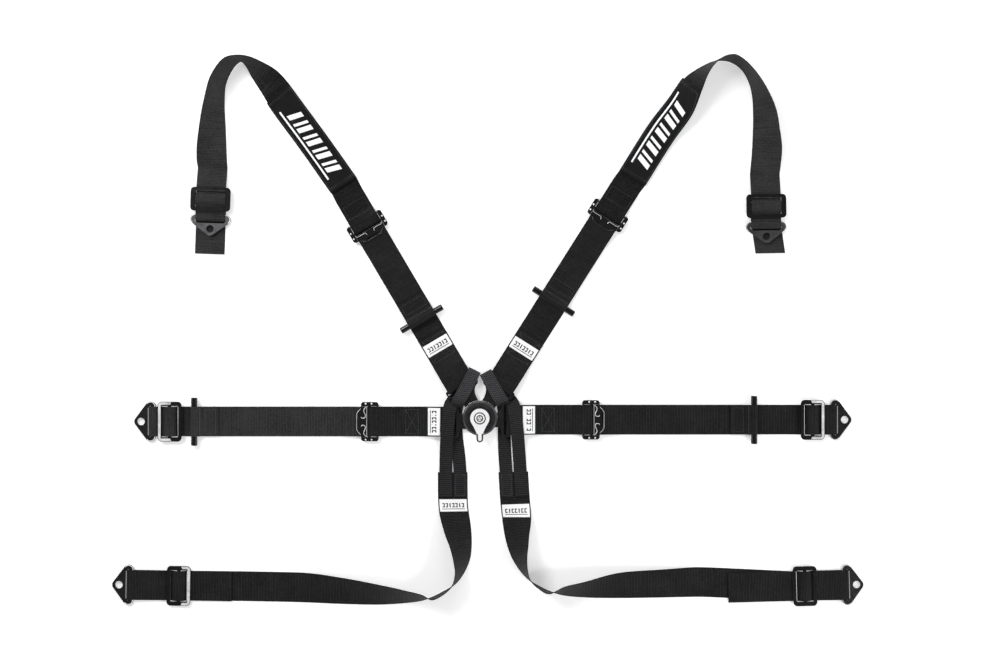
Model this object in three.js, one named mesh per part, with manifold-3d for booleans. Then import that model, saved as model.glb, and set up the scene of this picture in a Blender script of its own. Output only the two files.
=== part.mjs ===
// Six-point racing harness laid out flat: cam-lock buckle, two shoulder straps, two lap straps
// and two leg straps, each ending in a three-bar slide and a bolt-on bracket.
// Millimetres, +Z up, floor at z = 0, origin at the middle of the buckle's back plate.
// +Y points to the shoulder straps, +X to the right-hand lap strap.

import * as THREE from 'three';
import { mergeVertices } from 'three/addons/utils/BufferGeometryUtils.js';
import Module from 'manifold-3d';

const wasm = await Module();
wasm.setup();

// ---------------------------------------------------------------- driving dimensions

const GAP = 0.3; // air kept between neighbouring solids

const WEB_WIDTH = 50; // two-inch webbing
const WEB_THICK = 1.4;
const LAYER = WEB_THICK + GAP; // rise from one webbing layer to the next
const FLOOR_MID = WEB_THICK / 2; // middle of a layer that lies on the floor
const NARROW_WIDTH = 22; // webbing of the two loops at the top of the leg straps

const BUCKLE_R = 29;
const WALL_R = 25; // inside of the buckle's wall
const BACK_PLATE_TOP = 4;
const COVER_UNDERSIDE = 17;
const COVER_TOP = 20;
const RIM_CHAMFER = 2.5;
const SPINDLE_R = 4;
const SPINDLE_TOP = 25.5;

const TONGUE_BASE = 6; // underside of the latch plates
const TONGUE_THICK = 2.5;
const TONGUE_NECK = 25; // width of the neck that enters the buckle
const TONGUE_WIDE = 58; // width over the webbing slot
const TONGUE_TIP = 15; // distance of the inner end from the buckle's middle
const TONGUE_NOSE = [14, 24]; // width of the inner end, and where the neck is full width
const TONGUE_BAR = 5; // bar that the webbing is sewn round
const TONGUE_SLOT = 6;
const LAP_FOLD = 44; // distance of the webbing's inner fold from the buckle's middle
const SHOULDER_FOLD = 58.5;
const LATCH_R = 19.5; // distance of the lock pins from the buckle's middle
const PIN_R = 3;
const PIN_LENGTH = 4;

const HANDLE_R = 16;
const HANDLE_REACH = 39.5;
const HANDLE_STEM = 4.8; // half the width of the pointer's tip
const HANDLE_THICK = 4.5;

const ADJUSTER_LENGTH = 29.6;
const ADJUSTER_WIDTH = 66;
const ADJUSTER_TAB = 7.4; // how far the release tab stands past the frame
const ADJUSTER_INSIDE = WEB_WIDTH / 2 + 1; // inner face of the side walls
const FIXED_BAR = { s: 16, z: 4.6, r: 2.5 };
const TIE_BAR = { s: 2.6, z: 4.6, r: 1.6 };
const LOCK_BAR = { s: 28, z: 4.2, r: 2.5 };

const SLIDE_LENGTH = 40; // along the strap
const SLIDE_WIDTH = 67;
const SLIDE_THICK = 2.5;
const SLIDE_BORDER = 6.5;
const SLIDE_BAR = 6; // width of the middle bar
const SLIDE_CORNER = 6.5;

const BRACKET_TIP = 11.3; // bolt hole to tip
const BRACKET_THICK = 3;
const BRACKET_HOLE_R = 6.25;
const BRACKET_LOBE_R = 8.5;
const BRACKET_WIDTH = 68;
const BRACKET_SLOT = [9.6, 15.7]; // distance from the bolt hole
const BRACKET_END = 27;
const BRACKET_SLOT_WIDTH = 53;

const PULL_BAR_R = 4.75;
const PULL_BAR_LENGTH = 80;
const PULL_LOOP_END = 40; // sewn return behind a pull bar

const PAD_THICK = 3.5;
const PAD_WIDTH = 51;

// Buckle arms: where the strap's line starts, its direction, and what lies along it.
const ARMS = {
  shoulder_left: { x: 0, y: 0, angle: 120.5, fold: SHOULDER_FOLD, adjuster: 388, pull: 192.6 },
  shoulder_right: { x: 0, y: 0, angle: 57.7, fold: SHOULDER_FOLD, adjuster: 417, pull: 231.2 },
  lap_left: { x: 0, y: -6.5, angle: 180, fold: LAP_FOLD, adjuster: 170, pull: 479.6 },
  lap_right: { x: 0, y: -3.5, angle: 0, fold: LAP_FOLD, adjuster: 171.5, pull: 460.4 },
};

// Anchor ends: the bolt hole, the direction back along the strap, and the slide's distance.
const ENDS = {
  shoulder_left: { x: -453.7, y: 317.4, angle: 88, slide: 49.5, tail: 42, lean: 0 },
  shoulder_right: { x: 481.4, y: 305, angle: 91, slide: 50.5, tail: 28.5, lean: -0.13 },
  lap_left: { x: -570, y: -6.5, angle: 0, slide: 49, tail: 20.5 },
  lap_right: { x: 613.3, y: -3.5, angle: 180, slide: 54.5, tail: 20.5 },
  leg_left: { x: -607.2, y: -281, angle: -1, slide: 100.7, tail: 89 },
  leg_right: { x: 633.5, y: -280.9, angle: 181.5, slide: 87.2, tail: 129 },
};

// Where a strap bends it rises on edge. Each row is one cross-section, seen from above:
// the edge that stays on the floor, then the edge that rises. The height of the second
// edge follows from the webbing's width.
const SHOULDER_LEFT_BEND = [
  [-250, 377.5, -208, 404.5],
  [-302, 452, -262, 481],
  [-349, 516, -309, 545],
  [-368, 547, -334, 576],
  [-385, 574, -364, 593],
  [-394, 591, -381, 599],
  [-402, 599, -399, 601],
  [-412, 592, -422, 596],
  [-427, 563, -444, 568],
  [-430, 531, -456, 530],
  [-428, 481, -468, 478],
  [-426, 430, -475.5, 430],
];
const SHOULDER_RIGHT_BEND = [
  [235, 416, 278, 390],
  [286, 496, 328, 469],
  [318, 536, 354, 505],
  [346, 573, 369, 545],
  [361, 584, 376, 566],
  [379, 594, 384, 581],
  [391, 599, 394, 592],
  [405, 601, 405, 599],
  [420, 599, 421, 602],
  [433, 592, 435, 595],
  [444, 581, 448, 583],
  [453, 563, 462, 566],
  [458, 543, 475, 546],
  [460, 512, 492, 512],
  [459.5, 480, 500, 478],
  [457.5, 440, 507, 440],
];
const LEG_LEFT_BEND = [
  [-21, -92, -71, -92],
  [-20, -148, -70, -148],
  [-15, -186, -61, -186],
  [-14, -216, -49.5, -214],
  [-17, -239, -43, -238],
  [-27, -262, -40.5, -252],
  [-41, -280, -45, -274],
  [-60, -292, -61, -290],
  [-80, -302, -79, -298],
  [-98, -308.5, -95, -290.5],
  [-122, -312, -119, -285],
  [-168, -315, -165.5, -276.5],
  [-230, -314, -230, -267],
  [-303, -311, -303, -261],
  [-400, -309, -400, -259],
];
const LEG_RIGHT_BEND = [
  [31, -92, 81, -91],
  [35, -150, 85, -148],
  [41, -195, 82.5, -194],
  [46, -216, 81, -210.5],
  [54, -237, 79, -225],
  [69, -260, 79, -246],
  [83, -274, 83.5, -265],
  [98, -283, 99, -280.5],
  [114, -291, 114, -288],
  [138, -299, 141, -277],
  [178, -303, 175, -270],
  [241, -304, 239, -257.5],
  [310, -303, 309, -254],
  [370, -302, 370, -252],
  [400, -303, 400, -253],
];

// Cross-sections made along each bend, and the ones that a shoulder pad covers.
const BEND_STEPS = 36;
const PADS = { shoulder_left: [0, 8], shoulder_right: [0, 7] };

// Middle line of each narrow loop: up from the leg strap, over the lap and shoulder
// straps, round a fold, and back down beneath them to the leg strap.
const LOOP_TOP_Z = 12.3;
const SEWN_Z = FLOOR_MID + LAYER; // on top of the leg strap
const LOOP_LEFT = {
  over: [
    [-57.5, -134, SEWN_Z],
    [-57.5, -92, SEWN_Z],
    [-56, -66, 5],
    [-53, -38, 11.5],
    [-48, -6, LOOP_TOP_Z],
    [-38, 20, LOOP_TOP_Z],
    [-22, 51, LOOP_TOP_Z],
  ],
  fold: [-11.1, 74.9],
  under: [
    [-22, 51, FLOOR_MID],
    [-36, 28, FLOOR_MID],
    [-41, 8, FLOOR_MID],
    [-39, -30, FLOOR_MID],
    [-35, -66, FLOOR_MID],
    [-33.5, -94, SEWN_Z],
    [-33.5, -134, SEWN_Z],
  ],
};
const LOOP_RIGHT = {
  over: [
    [46, -134, SEWN_Z],
    [44, -92, SEWN_Z],
    [41, -64, 5],
    [40, -38, 11.5],
    [42, -6, LOOP_TOP_Z],
    [39, 18, LOOP_TOP_Z],
    [25.5, 47, LOOP_TOP_Z],
  ],
  fold: [12.1, 71.4],
  under: [
    [26.5, 48, FLOOR_MID],
    [44, 28, FLOOR_MID],
    [54, 4, FLOOR_MID],
    [61, -30, FLOOR_MID],
    [65, -64, FLOOR_MID],
    [68, -93, SEWN_Z],
    [70.5, -133, SEWN_Z],
  ],
};

// ---------------------------------------------------------------- materials

const MATERIALS = {
  webbing: { color: 0x17181b, roughness: 0.85, metalness: 0 },
  pad: { color: 0x101113, roughness: 0.9, metalness: 0 },
  black_steel: { color: 0x0c0c0e, roughness: 0.35, metalness: 0.7 },
  satin_plate: { color: 0x2a2b2e, roughness: 0.4, metalness: 0.8 },
  silver: { color: 0xc4c7cb, roughness: 0.25, metalness: 1 },
  inner_steel: { color: 0x8c8f94, roughness: 0.4, metalness: 1 },
};

const harness = new THREE.Group();

function add(name, geometry, finish, frame = new THREE.Matrix4()) {
  const mesh = new THREE.Mesh(geometry, new THREE.MeshStandardMaterial(MATERIALS[finish]));
  mesh.name = name;
  frame.decompose(mesh.position, mesh.quaternion, mesh.scale);
  harness.add(mesh);
}

// ---------------------------------------------------------------- small geometry helpers

function frameAt({ x, y, angle }) {
  const turn = new THREE.Matrix4().makeRotationZ(THREE.MathUtils.degToRad(angle));
  return turn.setPosition(x, y, 0);
}

function toSolid(geometry) {
  const bare = geometry.clone();
  bare.deleteAttribute('normal');
  bare.deleteAttribute('uv');
  const merged = mergeVertices(bare, 1e-4);
  return new wasm.Manifold(new wasm.Mesh({
    numProp: 3,
    vertProperties: Float32Array.from(merged.attributes.position.array),
    triVerts: Uint32Array.from(merged.index.array),
  }));
}

function toGeometry(solid) {
  const mesh = solid.getMesh();
  const geometry = new THREE.BufferGeometry();
  geometry.setAttribute('position', new THREE.BufferAttribute(mesh.vertProperties, 3));
  geometry.setIndex(new THREE.BufferAttribute(mesh.triVerts, 1));
  return geometry;
}

function join(geometries) {
  return toGeometry(geometries.map(toSolid).reduce((whole, piece) => whole.add(piece)));
}

function cut(geometry, tools) {
  return toGeometry(tools.map(toSolid).reduce((whole, tool) => whole.subtract(tool), toSolid(geometry)));
}

function box([x0, x1], [y0, y1], [z0, z1]) {
  const geometry = new THREE.BoxGeometry(x1 - x0, y1 - y0, z1 - z0);
  return geometry.translate((x0 + x1) / 2, (y0 + y1) / 2, (z0 + z1) / 2);
}

// A round bar across the strap.
function crossBar(x, z, radius, length, sides = 16) {
  return new THREE.CylinderGeometry(radius, radius, length, sides).translate(x, 0, z);
}

function upright(radius, z0, z1, sides = 20) {
  const post = new THREE.CylinderGeometry(radius, radius, z1 - z0, sides).rotateX(Math.PI / 2);
  return post.translate(0, 0, (z0 + z1) / 2);
}

function polygon(points) {
  return new THREE.Shape(points.map(([x, y]) => new THREE.Vector2(x, y)));
}

function circlePath(x, y, radius, sides = 20) {
  const points = [];
  for (let i = 0; i < sides; i += 1) {
    const angle = (-2 * Math.PI * i) / sides;
    points.push([x + radius * Math.cos(angle), y + radius * Math.sin(angle)]);
  }
  return polygon(points);
}

function plate(shape, z0, thickness, bevel = 0, curveSegments = 6) {
  const geometry = new THREE.ExtrudeGeometry(shape, {
    depth: thickness - 2 * bevel,
    curveSegments,
    bevelEnabled: bevel > 0,
    bevelThickness: bevel,
    bevelSize: bevel,
    bevelOffset: -bevel,
    bevelSegments: 1,
  });
  return geometry.translate(0, 0, z0 + bevel);
}

function roundedRect(x0, x1, halfWidth, radius) {
  const shape = new THREE.Shape();
  const quarter = Math.PI / 2;
  shape.absarc(x1 - radius, halfWidth - radius, radius, 0, quarter, false);
  shape.absarc(x0 + radius, halfWidth - radius, radius, quarter, 2 * quarter, false);
  shape.absarc(x0 + radius, radius - halfWidth, radius, 2 * quarter, 3 * quarter, false);
  shape.absarc(x1 - radius, radius - halfWidth, radius, 3 * quarter, 4 * quarter, false);
  return shape;
}

// ---------------------------------------------------------------- webbing

// A strap is a loft of thin rectangles. A station is the middle of the webbing and the
// vector from there to its edge. Both faces are split along the same diagonal, so that a
// twisted strap keeps its thickness.
function strap(stations, thickness = WEB_THICK) {
  const last = stations.length - 1;
  const positions = [];
  stations.forEach(({ centre, half }, i) => {
    const ahead = stations[Math.min(i + 1, last)].centre;
    const behind = stations[Math.max(i - 1, 0)].centre;
    const tangent = ahead.clone().sub(behind);
    const normal = tangent.cross(half).setLength(thickness / 2);
    for (const [side, face] of [[1, 1], [-1, 1], [-1, -1], [1, -1]]) {
      const corner = centre.clone().addScaledVector(half, side).addScaledVector(normal, face);
      positions.push(...corner.toArray());
    }
  });
  const index = [2, 1, 0, 3, 2, 0];
  for (let i = 0; i < last; i += 1) {
    for (let j = 0; j < 4; j += 1) {
      const a = 4 * i + j;
      const b = 4 * i + ((j + 1) % 4);
      const lower = j === 2;
      index.push(...(lower ? [a, b, a + 4, b, b + 4, a + 4] : [a, b, b + 4, a, b + 4, a + 4]));
    }
  }
  const end = 4 * last;
  index.push(end, end + 1, end + 2, end, end + 2, end + 3);
  const geometry = new THREE.BufferGeometry();
  geometry.setAttribute('position', new THREE.Float32BufferAttribute(positions, 3));
  geometry.setIndex(index);
  return geometry;
}

// Points of an arc in the strap's side view, from one angle to another in degrees.
function arc(x, z, radius, from, to, steps = 6) {
  const points = [];
  for (let i = 0; i <= steps; i += 1) {
    const angle = THREE.MathUtils.degToRad(from + ((to - from) * i) / steps);
    points.push([x + radius * Math.cos(angle), z + radius * Math.sin(angle)]);
  }
  return points;
}

// Stations from side-view points [x, z], with an optional third number: a shift sideways.
function sideView(points, width = WEB_WIDTH) {
  return points.map(([x, z, y = 0]) => ({
    centre: new THREE.Vector3(x, y, z),
    half: new THREE.Vector3(0, width / 2, 0),
  }));
}

function place(stations, frame) {
  const turn = new THREE.Matrix3().setFromMatrix4(frame);
  return stations.map(({ centre, half }) => ({
    centre: centre.clone().applyMatrix4(frame),
    half: half.clone().applyMatrix3(turn),
  }));
}

// Smooth stations through the cross-sections of a bend. `flipped` swaps the two edges, so
// that the same face stays up where the bend joins a straight stretch.
function bendStations(rows, steps, flipped) {
  const floorEdge = rows.map(([x, y]) => new THREE.Vector3(x, y, FLOOR_MID));
  const raisedEdge = rows.map(([fx, fy, x, y]) => {
    const spread = Math.min(Math.hypot(x - fx, y - fy), WEB_WIDTH);
    return new THREE.Vector3(x, y, FLOOR_MID + Math.sqrt(WEB_WIDTH ** 2 - spread ** 2));
  });
  const smooth = (edge) => new THREE.CatmullRomCurve3(edge, false, 'centripetal');
  const curves = [smooth(floorEdge), smooth(raisedEdge)];
  const stations = [];
  for (let i = 0; i <= steps; i += 1) {
    const [low, high] = curves.map((curve) => curve.getPoint(i / steps));
    high.z = Math.max(high.z, FLOOR_MID);
    const half = high.sub(low).setLength(WEB_WIDTH / 2);
    stations.push({ centre: low.add(half), half: flipped ? half.clone().negate() : half });
  }
  return stations;
}

// The bump that a layer makes over the slide's middle bar, walked towards the anchor.
function slideBump(slideX, low, high, lift) {
  const flat = SLIDE_BAR / 2;
  const run = SLIDE_LENGTH / 2 - SLIDE_BORDER - 0.5 - flat;
  const points = [];
  for (let i = -5; i <= 5; i += 1) {
    const reach = Math.abs(i) <= 1 ? Math.abs(i) * flat : flat + ((Math.abs(i) - 1) / 4) * run;
    const fall = Math.max(0, reach - flat) / run;
    const angle = Math.atan(((high - low) * Math.PI * Math.sin(Math.PI * fall)) / (2 * run));
    const z = low + ((high - low) * (1 + Math.cos(Math.PI * fall))) / 2;
    const x = -Math.sign(i) * reach;
    points.push([slideX + x + lift * Math.sin(angle) * Math.sign(x), z + lift * Math.cos(angle)]);
  }
  return points;
}

// ---------------------------------------------------------------- buckle

// A turned piece about the buckle's axis, from its profile [radius, z].
function turned(profile, segments) {
  const points = profile.map(([r, z]) => new THREE.Vector2(r, z));
  return new THREE.LatheGeometry(points, segments).rotateX(Math.PI / 2);
}

function backPlate() {
  const rim = BUCKLE_R - 0.5;
  return turned([[0, 0], [rim - 1, 0], [rim, 1], [rim, BACK_PLATE_TOP], [0, BACK_PLATE_TOP]], 32);
}

function housing() {
  const base = BACK_PLATE_TOP + GAP;
  const bore = SPINDLE_R + GAP;
  const profile = [
    [BUCKLE_R, base],
    [BUCKLE_R, COVER_TOP - RIM_CHAMFER],
    [BUCKLE_R - RIM_CHAMFER, COVER_TOP],
    [bore, COVER_TOP],
    [bore, COVER_UNDERSIDE],
    [WALL_R, COVER_UNDERSIDE],
    [WALL_R, base],
    [BUCKLE_R, base],
  ];
  const shell = turned(profile, 40);
  const halfSlot = TONGUE_NECK / 2 + GAP;
  const slots = Object.values(ARMS).map((arm) => {
    const slot = box([SPINDLE_R + 8, BUCKLE_R + 6], [-halfSlot, halfSlot], [
      TONGUE_BASE - GAP,
      TONGUE_BASE + TONGUE_THICK + GAP,
    ]);
    return slot.applyMatrix4(frameAt(arm));
  });
  return cut(shell, slots);
}

function handle() {
  const shoulder = HANDLE_R * 0.62; // where the round head runs into the pointer
  const shape = new THREE.Shape();
  shape.absarc(0, 0, HANDLE_R, THREE.MathUtils.degToRad(-38), THREE.MathUtils.degToRad(218), false);
  shape.quadraticCurveTo(-shoulder * 0.7, -HANDLE_R * 1.25, -HANDLE_STEM, -HANDLE_R * 1.7);
  shape.lineTo(-HANDLE_STEM, HANDLE_STEM - HANDLE_REACH);
  shape.absarc(0, HANDLE_STEM - HANDLE_REACH, HANDLE_STEM, Math.PI, 2 * Math.PI, false);
  shape.lineTo(HANDLE_STEM, -HANDLE_R * 1.7);
  const start = THREE.MathUtils.degToRad(-38);
  shape.quadraticCurveTo(
    shoulder * 0.7,
    -HANDLE_R * 1.25,
    HANDLE_R * Math.cos(start),
    HANDLE_R * Math.sin(start),
  );
  const grip = plate(shape, COVER_TOP + GAP, HANDLE_THICK, 1, 8);
  return cut(grip, [upright(SPINDLE_R + GAP, COVER_TOP - 1, COVER_TOP + HANDLE_THICK + 2)]);
}

// The spindle carries a collar with a shallow face cam under the cover.
function spindle() {
  const collar = [SPINDLE_R + 3, 14.4, 15.8];
  const profile = [
    [0, BACK_PLATE_TOP + GAP],
    [SPINDLE_R, BACK_PLATE_TOP + GAP],
    [SPINDLE_R, collar[1]],
    [collar[0], collar[1]],
    [collar[0], collar[2]],
    [SPINDLE_R, collar[2]],
    [SPINDLE_R, SPINDLE_TOP],
    [0, SPINDLE_TOP],
  ];
  return turned(profile, 24);
}

function returnSpring() {
  const turns = 2.5;
  const steps = turns * 12;
  const radius = SPINDLE_R + 2.4;
  const [bottom, rise] = [9.2, 3.6];
  const points = [];
  for (let i = 0; i <= steps; i += 1) {
    const angle = (i * Math.PI) / 6;
    const z = bottom + (i * rise) / steps;
    points.push(new THREE.Vector3(radius * Math.cos(angle), radius * Math.sin(angle), z));
  }
  const wire = new THREE.Shape();
  wire.absarc(0, 0, 0.5, 0, 2 * Math.PI, false);
  return new THREE.ExtrudeGeometry(wire, {
    steps,
    curveSegments: 3,
    extrudePath: new THREE.CatmullRomCurve3(points),
  });
}

// A fishtail latch plate: narrow neck with a latch hole, wide end with the webbing slot.
function tongue(fold) {
  const bar0 = fold + WEB_THICK + GAP + 0.4;
  const slot0 = bar0 - TONGUE_SLOT;
  const end = bar0 + TONGUE_BAR;
  const neck = TONGUE_NECK / 2;
  const wide = TONGUE_WIDE / 2;
  const neckEnd = BUCKLE_R + 3;
  const shape = new THREE.Shape();
  shape.moveTo(TONGUE_TIP, -TONGUE_NOSE[0] / 2);
  shape.lineTo(TONGUE_NOSE[1], -neck);
  shape.lineTo(neckEnd, -neck);
  shape.quadraticCurveTo(slot0 - 5, -neck - 2, slot0 - 3, -wide + 3);
  shape.lineTo(slot0 + 1, -wide);
  shape.lineTo(end - 2, -wide);
  shape.lineTo(end, -wide + 2);
  shape.lineTo(end, wide - 2);
  shape.lineTo(end - 2, wide);
  shape.lineTo(slot0 + 1, wide);
  shape.lineTo(slot0 - 3, wide - 3);
  shape.quadraticCurveTo(slot0 - 5, neck + 2, neckEnd, neck);
  shape.lineTo(TONGUE_NOSE[1], neck);
  shape.lineTo(TONGUE_TIP, TONGUE_NOSE[0] / 2);
  const halfSlot = WEB_WIDTH / 2 + 1.2;
  shape.holes.push(polygon([[slot0, -halfSlot], [slot0, halfSlot], [bar0, halfSlot], [bar0, -halfSlot]]));
  shape.holes.push(circlePath(LATCH_R, 0, PIN_R + 0.5));
  return plate(shape, TONGUE_BASE, TONGUE_THICK, 0, 8);
}

// ---------------------------------------------------------------- strap hardware

// Adjuster frame. s runs from the sewn side to the side where the strap runs through.
function adjusterFrame() {
  const inside = ADJUSTER_INSIDE;
  const wall = 2;
  const parts = [];
  for (const side of [-1, 1]) {
    const y = [side * inside, side * (inside + wall)].sort((a, b) => a - b);
    const cheek = polygon([
      [0, 0.6],
      [27, 0.6],
      [ADJUSTER_LENGTH, 3],
      [ADJUSTER_LENGTH, 7.5],
      [21, 10.6],
      [3, 10.6],
      [0, 7],
    ]);
    const upright90 = plate(cheek, 0, wall).rotateX(Math.PI / 2).translate(0, y[1], 0);
    parts.push(upright90);
    const rim = side * (inside + wall - 0.5);
    const tip = (side * ADJUSTER_WIDTH) / 2;
    const outline = [
      [0, rim],
      [1, tip - side * 2],
      [3, tip],
      [27, tip],
      [ADJUSTER_LENGTH, tip - side * 3],
      [ADJUSTER_LENGTH, rim],
    ];
    const ear = polygon(side > 0 ? outline.reverse() : outline);
    for (const s of [12, 22]) {
      ear.holes.push(circlePath(s, side * (inside + 4.3), 1.6, 8));
    }
    parts.push(plate(ear, 6, 2, 0, 4));
  }
  const span = 2 * inside + wall;
  parts.push(crossBar(FIXED_BAR.s, FIXED_BAR.z, FIXED_BAR.r, span));
  parts.push(crossBar(TIE_BAR.s, TIE_BAR.z, TIE_BAR.r, span, 12));
  return join(parts);
}

function lockBar() {
  return crossBar(LOCK_BAR.s, LOCK_BAR.z, LOCK_BAR.r, 2 * (ADJUSTER_INSIDE - GAP));
}

// The release tab: a bent lever plate with a D-shaped window and two hooks over the lock bar.
function releaseTab() {
  const end = ADJUSTER_LENGTH + ADJUSTER_TAB;
  const side = ADJUSTER_INSIDE - GAP;
  const half = [[22.5, side], [29.6, side], [30.4, 21.5], [end - 1, 15], [end, 13.5]];
  const inner = [[31.2, 4.8], [27.6, 5.6], [27.6, 8], [29.4, 12], [27, 18], [22.5, side - 3]];
  const outline = [
    ...half.map(([s, v]) => [s, -v]),
    ...half.slice().reverse(),
    ...inner.slice().reverse(),
    ...inner.map(([s, v]) => [s, -v]),
  ];
  const shape = polygon(outline);
  shape.holes.push(polygon([[32.6, -11], [32.6, 11], [34.2, 11], [35.4, 8], [35.4, -8], [34.2, -11]]));
  const base = LOCK_BAR.z + LOCK_BAR.r + LAYER + GAP;
  return plate(shape, base, 1.8);
}

function threeBarSlide(z0) {
  const reach = SLIDE_LENGTH / 2;
  const body = plate(roundedRect(-reach, reach, SLIDE_WIDTH / 2, SLIDE_CORNER), z0, SLIDE_THICK, 0, 4);
  const halfSlot = WEB_WIDTH / 2 + 1.2;
  const slots = [-1, 1].map((side) => {
    const x = [side * (SLIDE_BAR / 2), side * (reach - SLIDE_BORDER)].sort((a, b) => a - b);
    return box(x, [-halfSlot, halfSlot], [z0 - 1, z0 + SLIDE_THICK + 1]);
  });
  return cut(body, slots);
}

// A triangular bracket with a bolt hole at the origin and a slot for the webbing.
function bracket(z0) {
  const tipR = 8.5;
  const lobeX = BRACKET_END - BRACKET_LOBE_R - 2.5;
  const lobeY = BRACKET_WIDTH / 2 - BRACKET_LOBE_R;
  const tipX = tipR - BRACKET_TIP;
  const slope = Math.atan2(lobeY, lobeX - tipX);
  const shape = new THREE.Shape();
  const quarter = Math.PI / 2;
  shape.absarc(tipX, 0, tipR, quarter + slope, 3 * quarter - slope, false);
  shape.absarc(lobeX, -lobeY, BRACKET_LOBE_R, 3 * quarter - slope, 4 * quarter + 0.3, false);
  shape.lineTo(BRACKET_END, -lobeY + 5);
  shape.lineTo(BRACKET_END, lobeY - 5);
  shape.absarc(lobeX, lobeY, BRACKET_LOBE_R, -0.3, quarter + slope, false);
  const [x0, x1] = BRACKET_SLOT;
  const y = BRACKET_SLOT_WIDTH / 2;
  shape.holes.push(polygon([[x0, 4 - y], [x0, y - 4], [x0 + 4, y], [x1, y], [x1, -y], [x0 + 4, -y]]));
  shape.holes.push(circlePath(0, 0, BRACKET_HOLE_R, 16));
  return plate(shape, z0, BRACKET_THICK, 0, 6);
}

function pullBar(x) {
  const tip = PULL_BAR_LENGTH / 2;
  const r = PULL_BAR_R;
  const profile = [[0, -tip], [r - 1, -tip], [r, -tip + 1], [r, tip - 1], [r - 1, tip], [0, tip]];
  const bar = new THREE.LatheGeometry(profile.map(([radius, y]) => new THREE.Vector2(radius, y)), 16);
  return bar.translate(x, 0, pullBarHeight());
}

function pullBarHeight() {
  return FLOOR_MID + LAYER + PULL_BAR_R + GAP + WEB_THICK / 2;
}

// ---------------------------------------------------------------- strap routes in side view

// Loop that runs in low towards a flat or round bar at x, turns on its near side and
// leaves high. `radius` is the middle of the webbing.
function turnRound(x, z, radius, towards) {
  return towards > 0 ? arc(x, z, radius, -90, 90) : arc(x, z, radius, 270, 90);
}

// Sewn loop from the tongue to the adjuster of a lap strap.
function lapShortRoute(arm) {
  const barZ = TONGUE_BASE + TONGUE_THICK / 2;
  const barR = TONGUE_THICK / 2 + GAP + WEB_THICK / 2;
  const barX = arm.fold + WEB_THICK / 2 + barR;
  const fixedX = arm.adjuster + FIXED_BAR.s;
  const fixedR = FIXED_BAR.r + GAP + WEB_THICK / 2;
  const join0 = 124;
  return [
    [join0, FLOOR_MID],
    [102, FLOOR_MID],
    [82, barZ - barR],
    ...turnRound(barX, barZ, barR, -1),
    [80, barZ + barR],
    [106, FLOOR_MID + LAYER],
    [arm.adjuster - 16, FLOOR_MID + LAYER],
    [arm.adjuster + 2, FIXED_BAR.z + fixedR - 0.6],
    ...arc(fixedX, FIXED_BAR.z, fixedR, 90, -90),
    [arm.adjuster + 2, FLOOR_MID + 0.2],
    [join0 + 4, FLOOR_MID],
  ];
}

// Sewn loop round a shoulder adjuster's fixed bar, walked outwards.
function shoulderUpperStart(arm) {
  const fixedX = arm.adjuster - FIXED_BAR.s;
  const fixedR = FIXED_BAR.r + GAP + WEB_THICK / 2;
  return [
    [arm.adjuster + 36, FLOOR_MID],
    [arm.adjuster - 2, FLOOR_MID + 0.2],
    ...turnRound(fixedX, FIXED_BAR.z, fixedR, -1),
    [arm.adjuster - 2, FIXED_BAR.z + fixedR - 0.6],
    [arm.adjuster + 16, FLOOR_MID + LAYER],
    [arm.adjuster + 37, FLOOR_MID + LAYER],
    [arm.adjuster + 46, FLOOR_MID],
  ];
}

// The shoulder strap between tongue and lock bar: sewn round the tongue, then along the floor.
function shoulderLowerRoute(arm) {
  const barZ = TONGUE_BASE + TONGUE_THICK / 2;
  const barR = TONGUE_THICK / 2 + GAP + WEB_THICK / 2;
  const barX = arm.fold + WEB_THICK / 2 + barR;
  const lockX = arm.adjuster - LOCK_BAR.s;
  const lockR = LOCK_BAR.r + GAP + WEB_THICK / 2;
  return [
    [160, FLOOR_MID + LAYER],
    [124, FLOOR_MID + LAYER],
    [96, barZ + barR],
    ...arc(barX, barZ, barR, 90, 270),
    [94, barZ - barR],
    [120, FLOOR_MID],
    [lockX - 3, FLOOR_MID],
    ...arc(lockX, LOCK_BAR.z, lockR, -90, -6, 4),
  ];
}

// The free end on top of it: from the lock bar back to the sewn loop of the pull bar.
function tailRoute(lockX, pullX, wayOut) {
  const lockR = LOCK_BAR.r + GAP + WEB_THICK / 2;
  const sweep = wayOut > 0 ? [174, 90] : [6, 90];
  const high = LOCK_BAR.z + lockR;
  const low = FLOOR_MID + LAYER;
  const loopR = PULL_BAR_R + GAP + WEB_THICK / 2;
  const z = pullBarHeight();
  const loop = wayOut > 0 ? arc(pullX, z, loopR, -90, 140, 9) : arc(pullX, z, loopR, 270, 40, 9);
  const back = (distance) => pullX - wayOut * distance;
  return [
    ...arc(lockX, LOCK_BAR.z, lockR, sweep[0], sweep[1], 4),
    [lockX + wayOut * 10, high],
    [lockX + wayOut * 38, low],
    [back(12), low],
    ...loop,
    [back(13), low + LAYER + 0.6],
    [back(16), low + LAYER],
    [back(PULL_LOOP_END), low + LAYER],
  ];
}

// Lap strap from its lock bar out along the floor, before the anchor end.
function lapAnchorStart(arm) {
  const lockX = arm.adjuster + LOCK_BAR.s;
  const lockR = LOCK_BAR.r + GAP + WEB_THICK / 2;
  return [...arc(lockX, LOCK_BAR.z, lockR, 186, 270, 4), [lockX + 4, FLOOR_MID]];
}

// Heights at an anchor end, from the number of webbing layers under the bracket.
function endHeights(layersBelow) {
  const loopLow = FLOOR_MID + layersBelow * (LAYER + GAP / 4);
  const bracketZ = loopLow + WEB_THICK / 2 + GAP;
  const loopHigh = bracketZ + BRACKET_THICK + GAP + WEB_THICK / 2;
  return { loopLow, bracketZ, loopHigh };
}

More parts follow.
